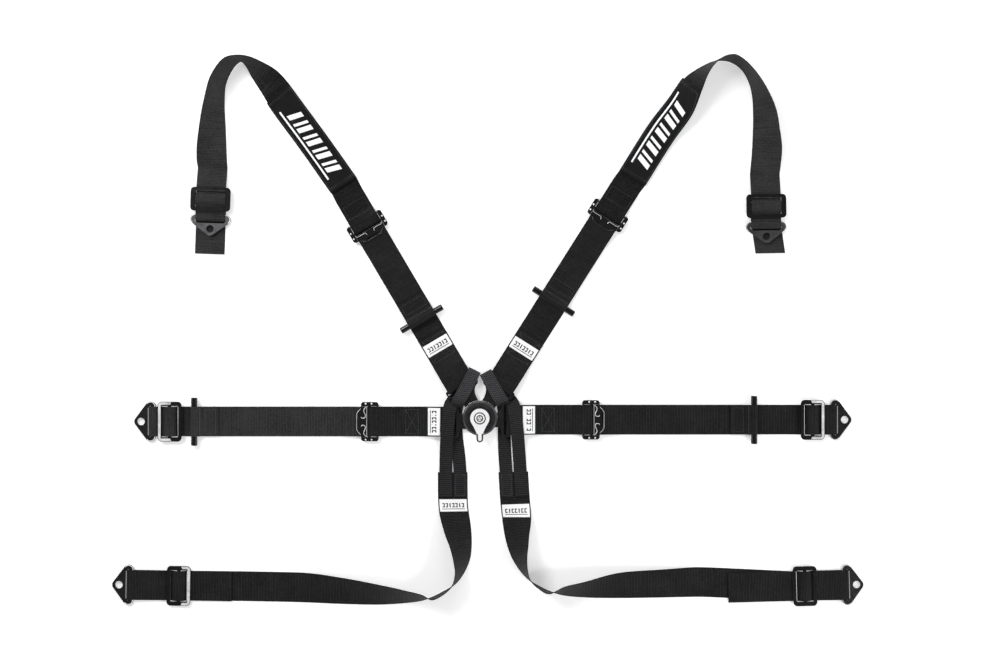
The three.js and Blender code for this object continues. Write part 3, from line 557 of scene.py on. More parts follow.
def strap(name, path, cloth, body=None, stands_for=None, span=None, between=None, u0=0.0):
    """Webbing that rides a body, or that lies between two bodies and is left in place with no parent."""
    piece = ribbon(name, path, span or (0, path.total), cloth, body, u0=u0)
    if stands_for:
        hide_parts(stands_for)
    if between:
        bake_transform(piece)
    return piece


# ---------------- strap routes in side view


def on_shoulder(name):
    return name.startswith("shoulder")


def end_heights(name):
    """Middle of the lower layer, underside of the bracket and middle of the upper layer."""
    low = FLOOR_MID + (LAYER if on_shoulder(name) else 0)
    bracket_z = low + WRAP
    high = bracket_z + BRACKET_THICK + WRAP
    return low, bracket_z, high


def slide_height(name):
    if name.startswith("leg"):
        return FLOOR_MID + LAYER + WEB_THICK / 2 + 2 * GAP
    return end_heights(name)[2] + WRAP


def slide_bump(slide_x, low, high, lift=0.0, steps=14):
    """The bump over the slide's middle bar, walked towards the anchor."""
    flat = SLIDE_BAR / 2
    run = SLIDE_LENGTH / 2 - SLIDE_BORDER - 0.5 - flat
    points = []
    for i in range(-steps, steps + 1):
        k = abs(i) / steps
        reach = k * (flat + run)
        fall = max(0.0, reach - flat) / run
        slope = math.atan((high - low) * math.pi * math.sin(math.pi * fall) / (2 * run))
        z = low + (high - low) * (1 + math.cos(math.pi * fall)) / 2
        sign = -1 if i > 0 else 1
        x = sign * reach
        points.append((slide_x + x + lift * math.sin(slope) * sign, z + lift * math.cos(slope)))
    return points


def lap_short_route(arm):
    bar_x = arm["fold"] + WEB_THICK / 2 + BAR_WRAP
    fixed_x = arm["adjuster"] + FIXED_S
    return [
        (124, FLOOR_MID), (102, FLOOR_MID), (82, BAR_Z - BAR_WRAP),
        *arc(bar_x, BAR_Z, BAR_WRAP, 270, 90),
        (80, BAR_Z + BAR_WRAP), (106, FLOOR_MID + LAYER),
        (arm["adjuster"] - 16, FLOOR_MID + LAYER),
        (arm["adjuster"] + 2, FIXED_Z + FIXED_WRAP - 0.6),
        *arc(fixed_x, FIXED_Z, FIXED_WRAP, 90, -90),
        (arm["adjuster"] + 2, FLOOR_MID + 0.2), (128, FLOOR_MID),
    ]


def shoulder_upper_start(arm):
    fixed_x = arm["adjuster"] - FIXED_S
    return [
        (arm["adjuster"] + 36, FLOOR_MID), (arm["adjuster"] - 2, FLOOR_MID + 0.2),
        *arc(fixed_x, FIXED_Z, FIXED_WRAP, 270, 90),
        (arm["adjuster"] - 2, FIXED_Z + FIXED_WRAP - 0.6),
        (arm["adjuster"] + 16, FLOOR_MID + LAYER), (arm["adjuster"] + 37, FLOOR_MID + LAYER),
        (arm["adjuster"] + 46, FLOOR_MID),
    ]


def shoulder_lower_route(arm):
    bar_x = arm["fold"] + WEB_THICK / 2 + BAR_WRAP
    lock_x = arm["adjuster"] - LOCK_S
    loop = [
        (160, FLOOR_MID + LAYER), (124, FLOOR_MID + LAYER), (96, BAR_Z + BAR_WRAP),
        *arc(bar_x, BAR_Z, BAR_WRAP, 90, 270), (94, BAR_Z - BAR_WRAP), (120, FLOOR_MID),
        (165, FLOOR_MID),
    ]
    run = [(165, FLOOR_MID), (lock_x - 3, FLOOR_MID), *arc(lock_x, LOCK_Z, LOCK_WRAP, -90, -6, 6)]
    return loop, run


def tail_route(lock_x, pull_x, out):
    """The free end from the lock bar, then its sewn loop round the pull bar."""
    sweep = (174, 90) if out > 0 else (6, 90)
    high = LOCK_Z + LOCK_WRAP
    low = FLOOR_MID + LAYER
    loop_r = PULL_BAR_R + WRAP
    z = low + loop_r
    loop = arc(pull_x, z, loop_r, -90, 140, 14) if out > 0 else arc(pull_x, z, loop_r, 270, 40, 14)
    free = [
        *arc(lock_x, LOCK_Z, LOCK_WRAP, *sweep, 6), (lock_x + out * 10, high),
        (lock_x + out * 38, low), (pull_x - out * 60, low),
    ]
    sewn = [
        (pull_x - out * 60, low), (pull_x - out * 12, low), *loop,
        (pull_x - out * 13, low + LAYER + 0.6), (pull_x - out * 16, low + LAYER),
        (pull_x - out * PULL_LOOP_END, low + LAYER),
    ]
    return free, sewn


# Each narrow strap comes up from the leg strap under the lap strap, passes over the
# shoulder strap, folds, and goes back under it and over the lap strap.
OVER_Z = 12.3
NARROW_LOOPS = {
    "leg_left": dict(
        over=[(-33.5, -134, 2.4), (-33.5, -94, 2.4), (-36, -62, 0.9), (-39.5, -34, 0.9),
              (-40.5, -6, 0.9), (-40, 14, 1.5), (-37, 25, 8), (-33, 33, OVER_Z), (-22, 53, OVER_Z)],
        fold=(-11.1, 74.9),
        under=[(-22, 53, 0.7), (-36, 36, 0.7), (-46, 27, 3), (-50, 20, 10), (-51.5, 11, 12.2),
               (-53, -6, OVER_Z),
               (-55, -27, 12), (-56.5, -50, 6), (-57.5, -92, 2.4), (-57.5, -134, 2.4)],
    ),
    "leg_right": dict(
        over=[(46, -134, 2.4), (44, -92, 2.4), (42, -64, 0.9), (41, -34, 0.9), (41, -4, 0.9),
              (40, 16, 1.5), (37, 27, 8), (33, 34, OVER_Z), (24.5, 49, OVER_Z)],
        fold=(12.1, 71.4),
        under=[(24.5, 49, 0.7), (39, 37, 0.7), (51, 29, 3), (56, 22, 10), (58, 12, 12.2), (60, -4, OVER_Z),
               (63, -26, 12), (65, -50, 6), (68, -93, 2.4), (70.5, -133, 2.4)],
    ),
}


def loop_stations(spec):
    over = [Vector(p) for p in spec["over"]] + [Vector((*spec["fold"], OVER_Z))]
    under = [Vector((*spec["fold"], FLOOR_MID))] + [Vector(p) for p in spec["under"]]
    run = over[-1] - over[-2]
    run.z = 0
    run.normalize()
    radius = (OVER_Z - FLOOR_MID) / 2
    route = [catmull(over, i / 70) for i in range(71)]
    for i in range(1, 12):
        angle = math.pi * (0.5 - i / 12)
        rise = Vector((*spec["fold"], FLOOR_MID + radius + radius * math.sin(angle)))
        route.append(rise + run * radius * math.cos(angle))
    turn_end = len(route)
    route += [catmull(under, i / 70) for i in range(71)]
    stations = []
    for i, centre in enumerate(route):
        centre.z = max(centre.z, FLOOR_MID)
        plan = route[min(i + 1, len(route) - 1)] - route[max(i - 1, 0)]
        plan.z = 0
        if 70 <= i <= turn_end:
            plan = run.copy()
        elif i > turn_end:
            plan = -plan
        stations.append((centre, Vector((-plan.y, plan.x, 0)).normalized() * NARROW_WIDTH / 2))
    return stations


# ---------------- sewing, labels and print


def stitches(name, path, lines, body, lift, pitch=3.4, length=2.3, thick=0.45, face=1):
    """Rows of thread dashes on a strap. A line is ((s0, y0), (s1, y1)), millimetres along and across."""
    vertices, faces = [], []
    for (s0, y0), (s1, y1) in lines:
        half = path.halves[0].length
        total = math.hypot(s1 - s0, y1 - y0)
        count = max(1, int(total / pitch))
        for k in range(count):
            ends = [(k + 0.5) / count - length / (2 * total), (k + 0.5) / count + length / (2 * total)]
            spots = []
            for t in (ends[0], (ends[0] + ends[1]) / 2, ends[1]):
                s, y = s0 + (s1 - s0) * t, y0 + (y1 - y0) * t
                spots.append(path.at(s, y / half, face * lift))
            normal = path.normal(path.index(s0 + (s1 - s0) * ends[0])) * face
            run = (spots[2] - spots[0]).normalized()
            side = run.cross(normal).normalized() * thick / 2
            base = len(vertices)
            for spot, rise, wide in ((spots[0], 0, 0.5), (spots[1], 0.22, 1), (spots[2], 0, 0.5)):
                vertices += [spot - side * wide - normal * 0.2, spot - side * 0.6 * wide + normal * rise,
                             spot + side * 0.6 * wide + normal * rise, spot + side * wide - normal * 0.2]
            for r in (0, 4):
                for c in range(3):
                    faces.append((base + r + c, base + r + c + 1, base + r + c + 5, base + r + c + 4))
    placed(name, vertices, faces, THREAD, body)


def box_stitch(s0, s1, half, cross=True):
    """Lines of a sewn box with a cross in it."""
    lines = [((s0, y), (s1, y)) for y in (-half, half)] + [((s, -half), (s, half)) for s in (s0, s1)]
    if cross:
        lines += [((s0, -half), (s1, half)), ((s0, half), (s1, -half))]
    return lines


LABEL_LENGTH, LABEL_WIDTH, LABEL_THICK = 22, 46, 0.35
EVEN = [-1, -0.97, -0.8, -0.6, -0.4, -0.2, 0, 0.2, 0.4, 0.6, 0.8, 0.97, 1]


def flat_profile(thick):
    return lambda v: thick / 2 * (0.3 if abs(v) >= 1 else 1)


def label_marks():
    """One printed row of plain strokes with a line beneath: (s0, s1, y0, y1)."""
    marks = [(5.4, 6.6, -19, 19)]
    for k in range(7):
        y = -18.2 + 5.4 * k
        if k % 3 == 1:
            marks.append((-4, 3.4, y + 1, y + 2.9))
        else:
            marks += [(-4, -2.2, y, y + 4), (1.6, 3.4, y, y + 4), (-2.2, 1.6, y, y + 1.7)]
    return marks


def label(name, path, middle, body):
    """A sewn label lying across the strap's upper face, and its print."""
    face = face_up(path, middle)
    span = (middle - LABEL_LENGTH / 2, middle + LABEL_LENGTH / 2)
    lift = face * (TOP + LABEL_THICK / 2 + 0.005)
    ribbon(name, path, span, LABEL, body, flat_profile(LABEL_THICK), EVEN, lift, LABEL_WIDTH / WEB_WIDTH,
           -middle)
    bars = [[(middle + s0, y0), (middle + s1, y0), (middle + s1, y1), (middle + s0, y1)]
            for s0, s1, y0, y1 in label_marks()]
    surface_patch(f"{name}_print", path, bars, body, face * (TOP + 0.42), INK)


def surface_patch(name, path, shapes, body, lift, material):
    """Thin printed shapes: polygons of (s, y) laid on the strap's face."""
    vertices, faces = [], []
    half = path.halves[0].length
    for shape in shapes:
        base = len(vertices)
        vertices += [path.at(s, y / half, lift) for s, y in shape]
        faces.append(tuple(range(base, base + len(shape))))
    placed(name, vertices, faces, material, body, smooth=False)


# ---------------- hardware helpers


def finish_edges(obj, bevel, segments=3):
    """Rounds the sharp edges of a solid by modifiers."""
    cut = obj.modifiers.new("round_edges", "BEVEL")
    cut.width = bevel * MM
    cut.segments = segments
    cut.limit_method = "ANGLE"
    cut.angle_limit = math.radians(38)
    obj.modifiers.new("even_shading", "WEIGHTED_NORMAL")
    obj.data.polygons.foreach_set("use_smooth", [True] * len(obj.data.polygons))


def dress(node, material, bevel=0.35, segments=2):
    """Gives a CAD node its finish and rounded edges."""
    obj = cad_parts[node]
    obj.data.materials.clear()
    obj.data.materials.append(material)
    weld = obj.modifiers.new("weld", "WELD")
    weld.merge_threshold = 0.00001
    flat = obj.modifiers.new("flat_faces", "DECIMATE")
    flat.decimate_type = "DISSOLVE"
    flat.angle_limit = math.radians(2)
    finish_edges(obj, bevel, segments)


def plate_2d(name, outer, holes, z0, thick, bevel, material, matrix, body, stands_for=None):
    """A flat plate from outlines in millimetres, with rounded edges."""
    curve = bpy.data.curves.new(name + "_outline", "CURVE")
    curve.dimensions = "2D"
    curve.fill_mode = "BOTH"
    curve.extrude = thick / 2 * MM
    for outline in (outer, *holes):
        spline = curve.splines.new("POLY")
        spline.points.add(len(outline) - 1)
        for point, (x, y) in zip(spline.points, outline):
            point.co = (x * MM, y * MM, 0, 1)
        spline.use_cyclic_u = True
    holder = bpy.data.objects.new(name + "_outline", curve)
    scene.collection.objects.link(holder)
    bpy.context.view_layer.update()
    mesh = bpy.data.meshes.new_from_object(holder)
    bpy.data.objects.remove(holder)
    mesh.name = name
    work = bmesh.new()
    work.from_mesh(mesh)
    bmesh.ops.remove_doubles(work, verts=work.verts, dist=1e-6)
    bmesh.ops.dissolve_limit(work, angle_limit=math.radians(1), verts=work.verts, edges=work.edges)
    bmesh.ops.recalc_face_normals(work, faces=work.faces)
    place = matrix.copy()
    place.translation *= MM
    work.transform(place @ Matrix.Translation((0, 0, (z0 + thick / 2) * MM)))
    work.to_mesh(mesh)
    work.free()
    mesh.materials.clear()
    mesh.materials.append(material)
    obj = bpy.data.objects.new(name, mesh)
    scene.collection.objects.link(obj)
    finish_edges(obj, bevel)
    if stands_for:
        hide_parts(stands_for)
    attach(obj, body)


def circle(x, y, radius, steps=48, start=0.0, end=360.0):
    closed = abs(end - start) >= 360
    count = steps if closed else steps + 1
    points = []
    for i in range(count):
        angle = math.radians(start + (end - start) * i / steps)
        points.append((x + radius * math.cos(angle), y + radius * math.sin(angle)))
    return points


def rectangle(x0, x1, half):
    return [(x0, -half), (x0, half), (x1, half), (x1, -half)]


def quad_curve(a, b, c, steps=10):
    """Points of a quadratic curve from a through control b to c, without the first."""
    points = []
    for i in range(1, steps + 1):
        t = i / steps
        points.append(tuple(
            (1 - t) ** 2 * p + 2 * t * (1 - t) * q + t * t * r for p, q, r in zip(a, b, c)
        ))
    return points


def smooth_line(points, steps=5):
    """A rounded line through points, flat or in space."""
    places = [Vector((*p, 0)) if len(p) == 2 else Vector(p) for p in points]
    count = steps * (len(places) - 1)
    return [catmull(places, k / count) for k in range(count + 1)]


def lathe(name, profile, material, body, segments=128, matrix=Matrix.Identity(4)):
    """A turned piece: profile points (radius, z)."""
    vertices, faces = [], []
    count = len(profile)
    for i in range(segments):
        angle = 2 * math.pi * i / segments
        for radius, z in profile:
            vertices.append(matrix @ Vector((radius * math.cos(angle), radius * math.sin(angle), z)))
    for i in range(segments):
        a, b = i * count, ((i + 1) % segments) * count
        for j in range(count - 1):
            faces.append((a + j, b + j, b + j + 1, a + j + 1))
    obj = new_object(name, vertices, faces, material)
    work = bmesh.new()
    work.from_mesh(obj.data)
    bmesh.ops.remove_doubles(work, verts=work.verts, dist=1e-7)
    bmesh.ops.recalc_face_normals(work, faces=work.faces)
    for edge in work.edges:
        if len(edge.link_faces) == 2 and edge.calc_face_angle(0) > math.radians(30):
            edge.smooth = False
    work.to_mesh(obj.data)
    work.free()
    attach(obj, body)


def tube(name, points, radius, material, body, sides=10):
    """A round rod along points in the harness frame, millimetres."""
    vertices, faces = [], []
    up = Vector((0, 0, 1))
    for i, point in enumerate(points):
        run = (points[min(i + 1, len(points) - 1)] - points[max(i - 1, 0)]).normalized()
        side = run.cross(up)
        side = side.normalized() if side.length > 1e-4 else Vector((1, 0, 0))
        top = side.cross(run).normalized()
        for k in range(sides):
            angle = 2 * math.pi * k / sides
            vertices.append(point + side * radius * math.cos(angle) + top * radius * math.sin(angle))
    for i in range(len(points) - 1):
        for k in range(sides):
            a, b = i * sides + k, i * sides + (k + 1) % sides
            faces.append((a, b, b + sides, a + sides))
    faces.append(tuple(range(sides))[::-1])
    last = (len(points) - 1) * sides
    faces.append(tuple(range(last, last + sides)))
    placed(name, vertices, faces, material, body)


# ---------------- buckle

dress("buckle_back_plate", BLACK, 0.3)
dress("buckle_housing", BLACK, 0.2, 1)
dress("cam_spindle", INNER, 0.3)
dress("return_spring", INNER, 0.05, 1)

lathe("buckle_cover", [
    (SPINDLE_R + 0.4, COVER_TOP - 0.6), (SPINDLE_R + 0.4, COVER_TOP + 0.15),
    (17.5, COVER_TOP + 0.15), (18.0, COVER_TOP - 0.35), (19.2, COVER_TOP - 0.35),
    (19.7, COVER_TOP + 0.15), (25.6, COVER_TOP + 0.15), (26.4, COVER_TOP - 0.1),
    (28.6, COVER_TOP - 2.1), (29.15, COVER_TOP - 3.2), (29.15, 11.4), (28.9, 11.1),
], COVER, "core")
# The bevel ring in the lighter satin finish and the thin bright ring below it are painted highlights.
lathe("buckle_bevel_highlight", [
    (25.9, COVER_TOP + 0.1), (26.6, COVER_TOP + 0.12), (28.75, COVER_TOP - 2.0), (29.2, COVER_TOP - 3.1),
], SATIN, "core")
lathe("buckle_rim_highlight", [(28.75, 10.2), (29.25, 10.4), (29.3, 10.8), (28.8, 11.0)], EDGE_HIGHLIGHT, "core")

STEM_R = 4.8
TIP_Y = STEM_R - HANDLE_REACH
HANDLE_TOP = COVER_TOP + GAP + HANDLE_THICK
BADGE_TOP = HANDLE_TOP + 1.2
# The round head opens towards the stem, 38 degrees below its sides.
right = (HANDLE_R * math.cos(math.radians(38)), -HANDLE_R * math.sin(math.radians(38)))
waist, neck = (HANDLE_R * 0.434, -HANDLE_R * 1.25), (STEM_R, -HANDLE_R * 1.7)
handle_outline = circle(0, 0, HANDLE_R, 72, -38, 218)
handle_outline += quad_curve((-right[0], right[1]), (-waist[0], waist[1]), (-neck[0], neck[1]), 14)
handle_outline += circle(0, TIP_Y, STEM_R, 24, 180, 360)
handle_outline += quad_curve(neck, waist, right, 14)[:-1]
handle_hole = circle(0, 0, SPINDLE_R + 0.3, 40)[::-1]
plate_2d("handle_grip", handle_outline, [handle_hole], COVER_TOP + GAP, HANDLE_THICK, 1.3, SILVER,
         Matrix.Identity(4), "handle", "rotary_handle")
lathe("handle_badge", [
    (0.01, BADGE_TOP), (7.4, BADGE_TOP), (8.0, BADGE_TOP - 0.25), (8.2, BADGE_TOP - 0.8),
    (8.2, HANDLE_TOP - 0.3),
], SILVER, "handle", 96)
lathe("handle_badge_ring", [
    (8.25, HANDLE_TOP - 0.2), (8.4, HANDLE_TOP + 0.4), (9.9, HANDLE_TOP + 0.4), (10.1, HANDLE_TOP - 0.2),
], BLACK, "handle", 96)
hoop = [Vector((x, y, BADGE_TOP)) for x, y in [*circle(0, 0, 4.9, 36), (4.9, 0)]]
tube("handle_badge_hoop", hoop, 0.8, BLACK, "handle", 8)
for index in range(3):
    angle = math.radians(90 + 120 * index)
    bar = [Vector((r * math.cos(angle), r * math.sin(angle), BADGE_TOP)) for r in (1.2, 3.6)]
    tube(f"handle_badge_bar_{index}", bar, 0.85, BLACK, "handle", 8)
line_r = STEM_R - 0.5
tip_line = [(-line_r, -26), (-line_r, -30), *circle(0, TIP_Y, line_r, 12, 180, 360)]
tip_line = [(x, y, HANDLE_TOP - 0.5) for x, y in (*tip_line, (line_r, -30), (line_r, -26))]
tube("handle_tip_line", smooth_line(tip_line, 2), 1.35, BLACK, "handle", 10)

# ---------------- tongues and lock pins

ARM_BODY, ADJUSTER_BODY = {}, {}
for name in ARMS:
    shoulder = on_shoulder(name)
    ARM_BODY[name] = name + ("_lower" if shoulder else "_inner")
    ADJUSTER_BODY[name] = name + ("_upper" if shoulder else "_inner")

for name, arm in ARMS.items():
    body = ARM_BODY[name]
    dress(f"{name}_lock_pin", INNER, 0.3)
    bar0 = arm["fold"] + WEB_THICK + GAP + 0.4
    slot0, end = bar0 - TONGUE_SLOT, bar0 + TONGUE_BAR
    half_neck, wide = TONGUE_NECK / 2, TONGUE_WIDE / 2
    neck_end = BUCKLE_R + 3
    side = [
        (TONGUE_NOSE[1], -half_neck), (neck_end, -half_neck),
        *quad_curve((neck_end, -half_neck), (slot0 - 5, -half_neck - 2), (slot0 - 3, -wide + 3), 10),
        (slot0 + 1, -wide), (end - 2, -wide), (end, -wide + 2),
    ]
    outline = [(TONGUE_TIP, -TONGUE_NOSE[0] / 2), *side]
    outline += [(x, -y) for x, y in reversed(side)] + [(TONGUE_TIP, TONGUE_NOSE[0] / 2)]
    holes = [rectangle(slot0, bar0, WEB_WIDTH / 2 + SLOT_SPACE), circle(LATCH_R, 0, PIN_R + 0.5, 32)[::-1]]
    plate_2d(f"{name}_latch_plate", outline, holes, TONGUE_BASE, TONGUE_THICK, 0.5, DARK, frame_at(arm), body,
             f"{name}_tongue")

# ---------------- straps


def crossing(path, spec, x, start=0, falling=True):
    """Running length where the path first passes local x after index `start`."""
    inverse = frame_at(spec).inverted()
    for i in range(start, len(path.centres)):
        here = (inverse @ path.centres[i]).x
        if (here <= x) if falling else (here >= x):
            return i * path.step
    return path.total


def on_top(path, spec, x):
    """Running length at local x on the path's uppermost layer there."""
    inverse = frame_at(spec).inverted()
    best = None
    for i, centre in enumerate(path.centres):
        if abs((inverse @ centre).x - x) < 1.4 and (best is None or centre.z > path.centres[best].z + 0.05):
            best = i
    return best * path.step


def face_up(path, s):
    return 1 if path.normal(path.index(s)).z > 0 else -1


def row_point(spec, x, z=FLOOR_MID):
    return tuple(c * MM for c in frame_at(spec) @ Vector((x, 0, z)))


GRIP_R = 5.4
GRIP_PROFILE = [
    (GRIP_R - 0.9, 25.8), (GRIP_R, 26.6), (GRIP_R, 29), (GRIP_R - 0.5, 29.4), (GRIP_R - 0.5, 30.2),
    (GRIP_R, 30.6), (GRIP_R, 39.4), (GRIP_R - 0.9, 40.4), (0.01, 40.4),
]
PULL_Z = FLOOR_MID + LAYER + PULL_BAR_R + WRAP
TAB_BASE = LOCK_Z + LOCK_R + LAYER + GAP
TAB_THICK = 1.8
TAB_SIDE = ADJUSTER_INSIDE - GAP
TAB_INNER = 20.6
# Half of the lever's inner edge from its side to its hook, drawn only as a painted highlight line: curved on a
# lap strap, stepped on a shoulder.
TAB_CURVE = [
    (20.9, 24.6), (22.0, 23.8), (23.8, 22.0), (25.0, 18.8), (23.8, 14.6), (22.2, 11.0), (22.4, 8.0),
    (24.2, 6.3), (26.6, 5.9), (28.6, 6.6), (29.2, 8.0),
]
TAB_STEP = [
    (21.2, 24.6), (22.5, 23.8), (23.0, 22.4), (23.0, 16.0), (23.0, 9.6), (23.3, 8.3), (24.4, 7.6), (27.4, 7.0),
]
TAB_END = [(30.4, 21.5), (36, 15), (37, 13.5)]


def release_tab(name, arm, out):
    """The release lever: a plate with a D window; its S-shaped inner edges, hooks and end edge are drawn as
    painted highlight lines.
    """
    place = frame_at(arm)

    def row(s, v, z=0.0):
        return Vector((arm["adjuster"] + out * s, v, z))

    half = [(TAB_INNER, TAB_SIDE), (29.6, TAB_SIDE), *TAB_END]
    outline = [*half, *[(s, -v) for s, v in half[::-1]]]
    window = [(32.6, -11), (32.6, 11), (34.2, 11), (35.4, 8), (35.4, -8), (34.2, -11)]
    outer, hole = ([tuple(row(s, v).xy) for s, v in shape] for shape in (outline, window))
    plate_2d(f"{name}_release_lever", outer, [hole], TAB_BASE, TAB_THICK, 0.4, BLACK, place, f"{name}_tab",
             f"{name}_release_tab")
    if on_shoulder(name):
        edge, edge_r, end_r, end_highlight = TAB_STEP, 0.36, 0.3, SATIN
    else:
        edge, edge_r, end_r, end_highlight = TAB_CURVE, 0.5, 0.35, EDGE_HIGHLIGHT
    top = TAB_BASE + TAB_THICK
    # Bright tubes along the inner edges and round the end: painted highlights.
    for side in (-1, 1):
        line = [place @ row(p.x, side * p.y, top) for p in smooth_line(edge)]
        tube(f"{name}_tab_edge_{'ab'[side > 0]}", line, edge_r, EDGE_HIGHLIGHT, f"{name}_tab", 8)
    rim = [(30.2, 21.8), (35.8, 15.2), (36.7, 13), (36.7, -13), (35.8, -15.2), (30.2, -21.8)]
    line = [place @ row(s, v, top - 0.15) for s, v in rim]
    tube(f"{name}_tab_end_highlight", line, end_r, end_highlight, f"{name}_tab", 8)


for name, arm in ARMS.items():
    shoulder = on_shoulder(name)
    out = -1 if shoulder else 1
    inner, holder, tail = ARM_BODY[name], ADJUSTER_BODY[name], f"{name}_tail"
    lock_x = arm["adjuster"] + out * LOCK_S
    if shoulder:
        loop, run = shoulder_lower_route(arm)
        path, long_path = Path(side_view(loop, arm)), Path(side_view(run, arm))
        strap(f"{name}_tongue_loop", path, WEBBING, inner, f"{name}_lower_webbing")
        strap(f"{name}_lower_strap", long_path, WEBBING, u0=path.total,
              between=(inner, holder, row_point(arm, 168), row_point(arm, lock_x - 14)))
        sew, label_x = (118, 156), 139 if name.endswith("left") else 136.9
    else:
        path = Path(side_view(lap_short_route(arm), arm))
        strap(f"{name}_short_strap", path, WEBBING, inner, f"{name}_short_webbing")
        sew, label_x = (104, 126), 78 if name.endswith("left") else 82.7
    s_a, s_b = (on_top(path, arm, x) for x in sew)
    stitches(f"{name}_tongue_sewing", path, box_stitch(s_a, s_b, SEW_HALF), inner, SEW_LIFT,
             face=face_up(path, s_a))
    label(f"{name}_label", path, on_top(path, arm, label_x), inner)

    free, sewn = tail_route(lock_x, arm["pull"], out)
    free_path, sewn_path = Path(side_view(free, arm)), Path(side_view(sewn, arm))
    cloth = LIT_WEBBING if name == "lap_left" else WEBBING
    strap(f"{name}_tail_strap", free_path, cloth, stands_for=f"{name}_tail_webbing",
          between=(holder, tail, row_point(arm, lock_x + out * 10), row_point(arm, arm["pull"] - out * 62)))
    strap(f"{name}_tail_loop", sewn_path, cloth, tail, u0=free_path.total)
    s_a, s_b, s_c = (on_top(sewn_path, arm, arm["pull"] - out * x) for x in (18, PULL_LOOP_END - 4, 10))
    stitches(f"{name}_tail_sewing", sewn_path, box_stitch(s_a, s_b, SEW_HALF, False), tail, SEW_LIFT,
             face=face_up(sewn_path, s_b))
    stitches(f"{name}_bar_sewing", sewn_path, [((s_c, -23), (s_c, 23))], tail, SEW_LIFT, 2.6, 1.5, 0.9,
             face_up(sewn_path, s_c))

    dress(f"{name}_pull_bar", BLACK, 0.5)
    across = Matrix.Translation((arm["pull"], 0, PULL_Z)) @ Matrix.Rotation(math.pi / 2, 4, "X")
    for side in (-1, 1):
        grip = [(r, side * h) for r, h in GRIP_PROFILE]
        lathe(f"{name}_pull_grip_{'ab'[side > 0]}", grip, BLACK, tail, 40, frame_at(arm) @ across)
    dress(f"{name}_adjuster_frame", BLACK, 0.4)
    dress(f"{name}_lock_bar", BLACK, 0.3)
    release_tab(name, arm, out)


def straight_start(path, spec):
    """Index on the path from which it stays in line with the anchor end."""
    inverse = frame_at(spec).inverted()
    aside = [i for i, centre in enumerate(path.centres) if abs((inverse @ centre).y) > WEB_WIDTH]
    return aside[-1] + 1 if aside else 0


END_WEBBING = {
    "shoulder_left": SHOULDER_WEBBING, "shoulder_right": SHOULDER_WEBBING,
    "lap_left": LIT_WEBBING, "lap_right": WEBBING, "leg_left": WEBBING, "leg_right": WEBBING,
}


def anchor_end(name, path, parent, near):
    """Cuts a strap's outer end into pieces that follow the slide or the strap, and pieces left in place
    between the slide, the bracket and the strap.
    """
    end = ENDS[name]
    slide, bracket = f"{name}_slide", f"{name}_bracket"
    border = SLIDE_LENGTH / 2
    inward, outward = end["slide"] + border, end["slide"] - border
    first = straight_start(path, end)
    c0 = crossing(path, end, inward + near, first)
    c1 = crossing(path, end, inward, first)
    c2 = crossing(path, end, outward, first)
    k1 = crossing(path, end, BRACKET_HINGE, first)
    turn = path.index(crossing(path, end, SHOULDER_SLOT[1] - 0.7, first))
    k2 = crossing(path, end, BRACKET_HINGE, turn, False)

    def part(label, s0, s1, body=None, blend=None):
        if blend:
            a, b, x_a, x_b = blend
            blend = (a, b, row_point(end, x_a), row_point(end, x_b))
        strap(f"{name}_{label}", path, END_WEBBING[name], body, span=(s0, s1), between=blend)

    loop_x = BRACKET_HINGE + 0.5
    part("slide_approach", c0, c1, blend=(parent, slide, inward + near - 1, inward + 1))
    part("slide_wave", c1, c2, slide)
    part("bracket_run", c2, k1, blend=(slide, parent, outward - 0.3, loop_x))
    part("bracket_loop", k1, k2, blend=(parent, bracket, BRACKET_HINGE - 0.5, BRACKET_HINGE - 4.5))
    if on_shoulder(name):
        part("free_tail", k2, path.total, parent)
        return c0
    c3 = crossing(path, end, outward, turn, False)
    c4 = crossing(path, end, inward, turn, False)
    part("bracket_return", k2, c3, blend=(parent, slide, loop_x, outward - 0.3))
    part("slide_top_wave", c3, c4, slide)
    if end["tail"] > 30:
        part("end_tail", c4, path.total, blend=(slide, parent, inward + 1, end["slide"] + end["tail"] - 1))
    return c0


def doubled_end(name):
    end = ENDS[name]
    low, bracket_z, loop_high = end_heights(name)
    slide_z = slide_height(name)
    loop_r = (loop_high - low) / 2
    high = slide_z + SLIDE_THICK + WRAP
    turn_x = SHOULDER_SLOT[1] - 0.5
    lift = LAYER + 0.05
    border = SLIDE_LENGTH / 2
    outer_low = min(loop_high, slide_z - WEB_THICK / 2 - GAP)
    outer = slide_bump(end["slide"], outer_low, high + lift)
    inner = slide_bump(end["slide"], FLOOR_MID, high, lift)
    middle = len(outer) // 2
    return [
        (end["slide"] + border + 2, FLOOR_MID),
        *slide_bump(end["slide"], FLOOR_MID, high),
        (end["slide"] - border, FLOOR_MID),
        *arc(turn_x, bracket_z + BRACKET_THICK / 2, loop_r, 270, 90),
        (BRACKET_END + 1, loop_high),
        (end["slide"] - border - 0.5, outer_low),
        *outer[middle + 1:][::-1], *inner[:middle + 1][::-1],
        (end["slide"] + border, FLOOR_MID + lift),
        (end["slide"] + end["tail"], FLOOR_MID + lift),
    ]


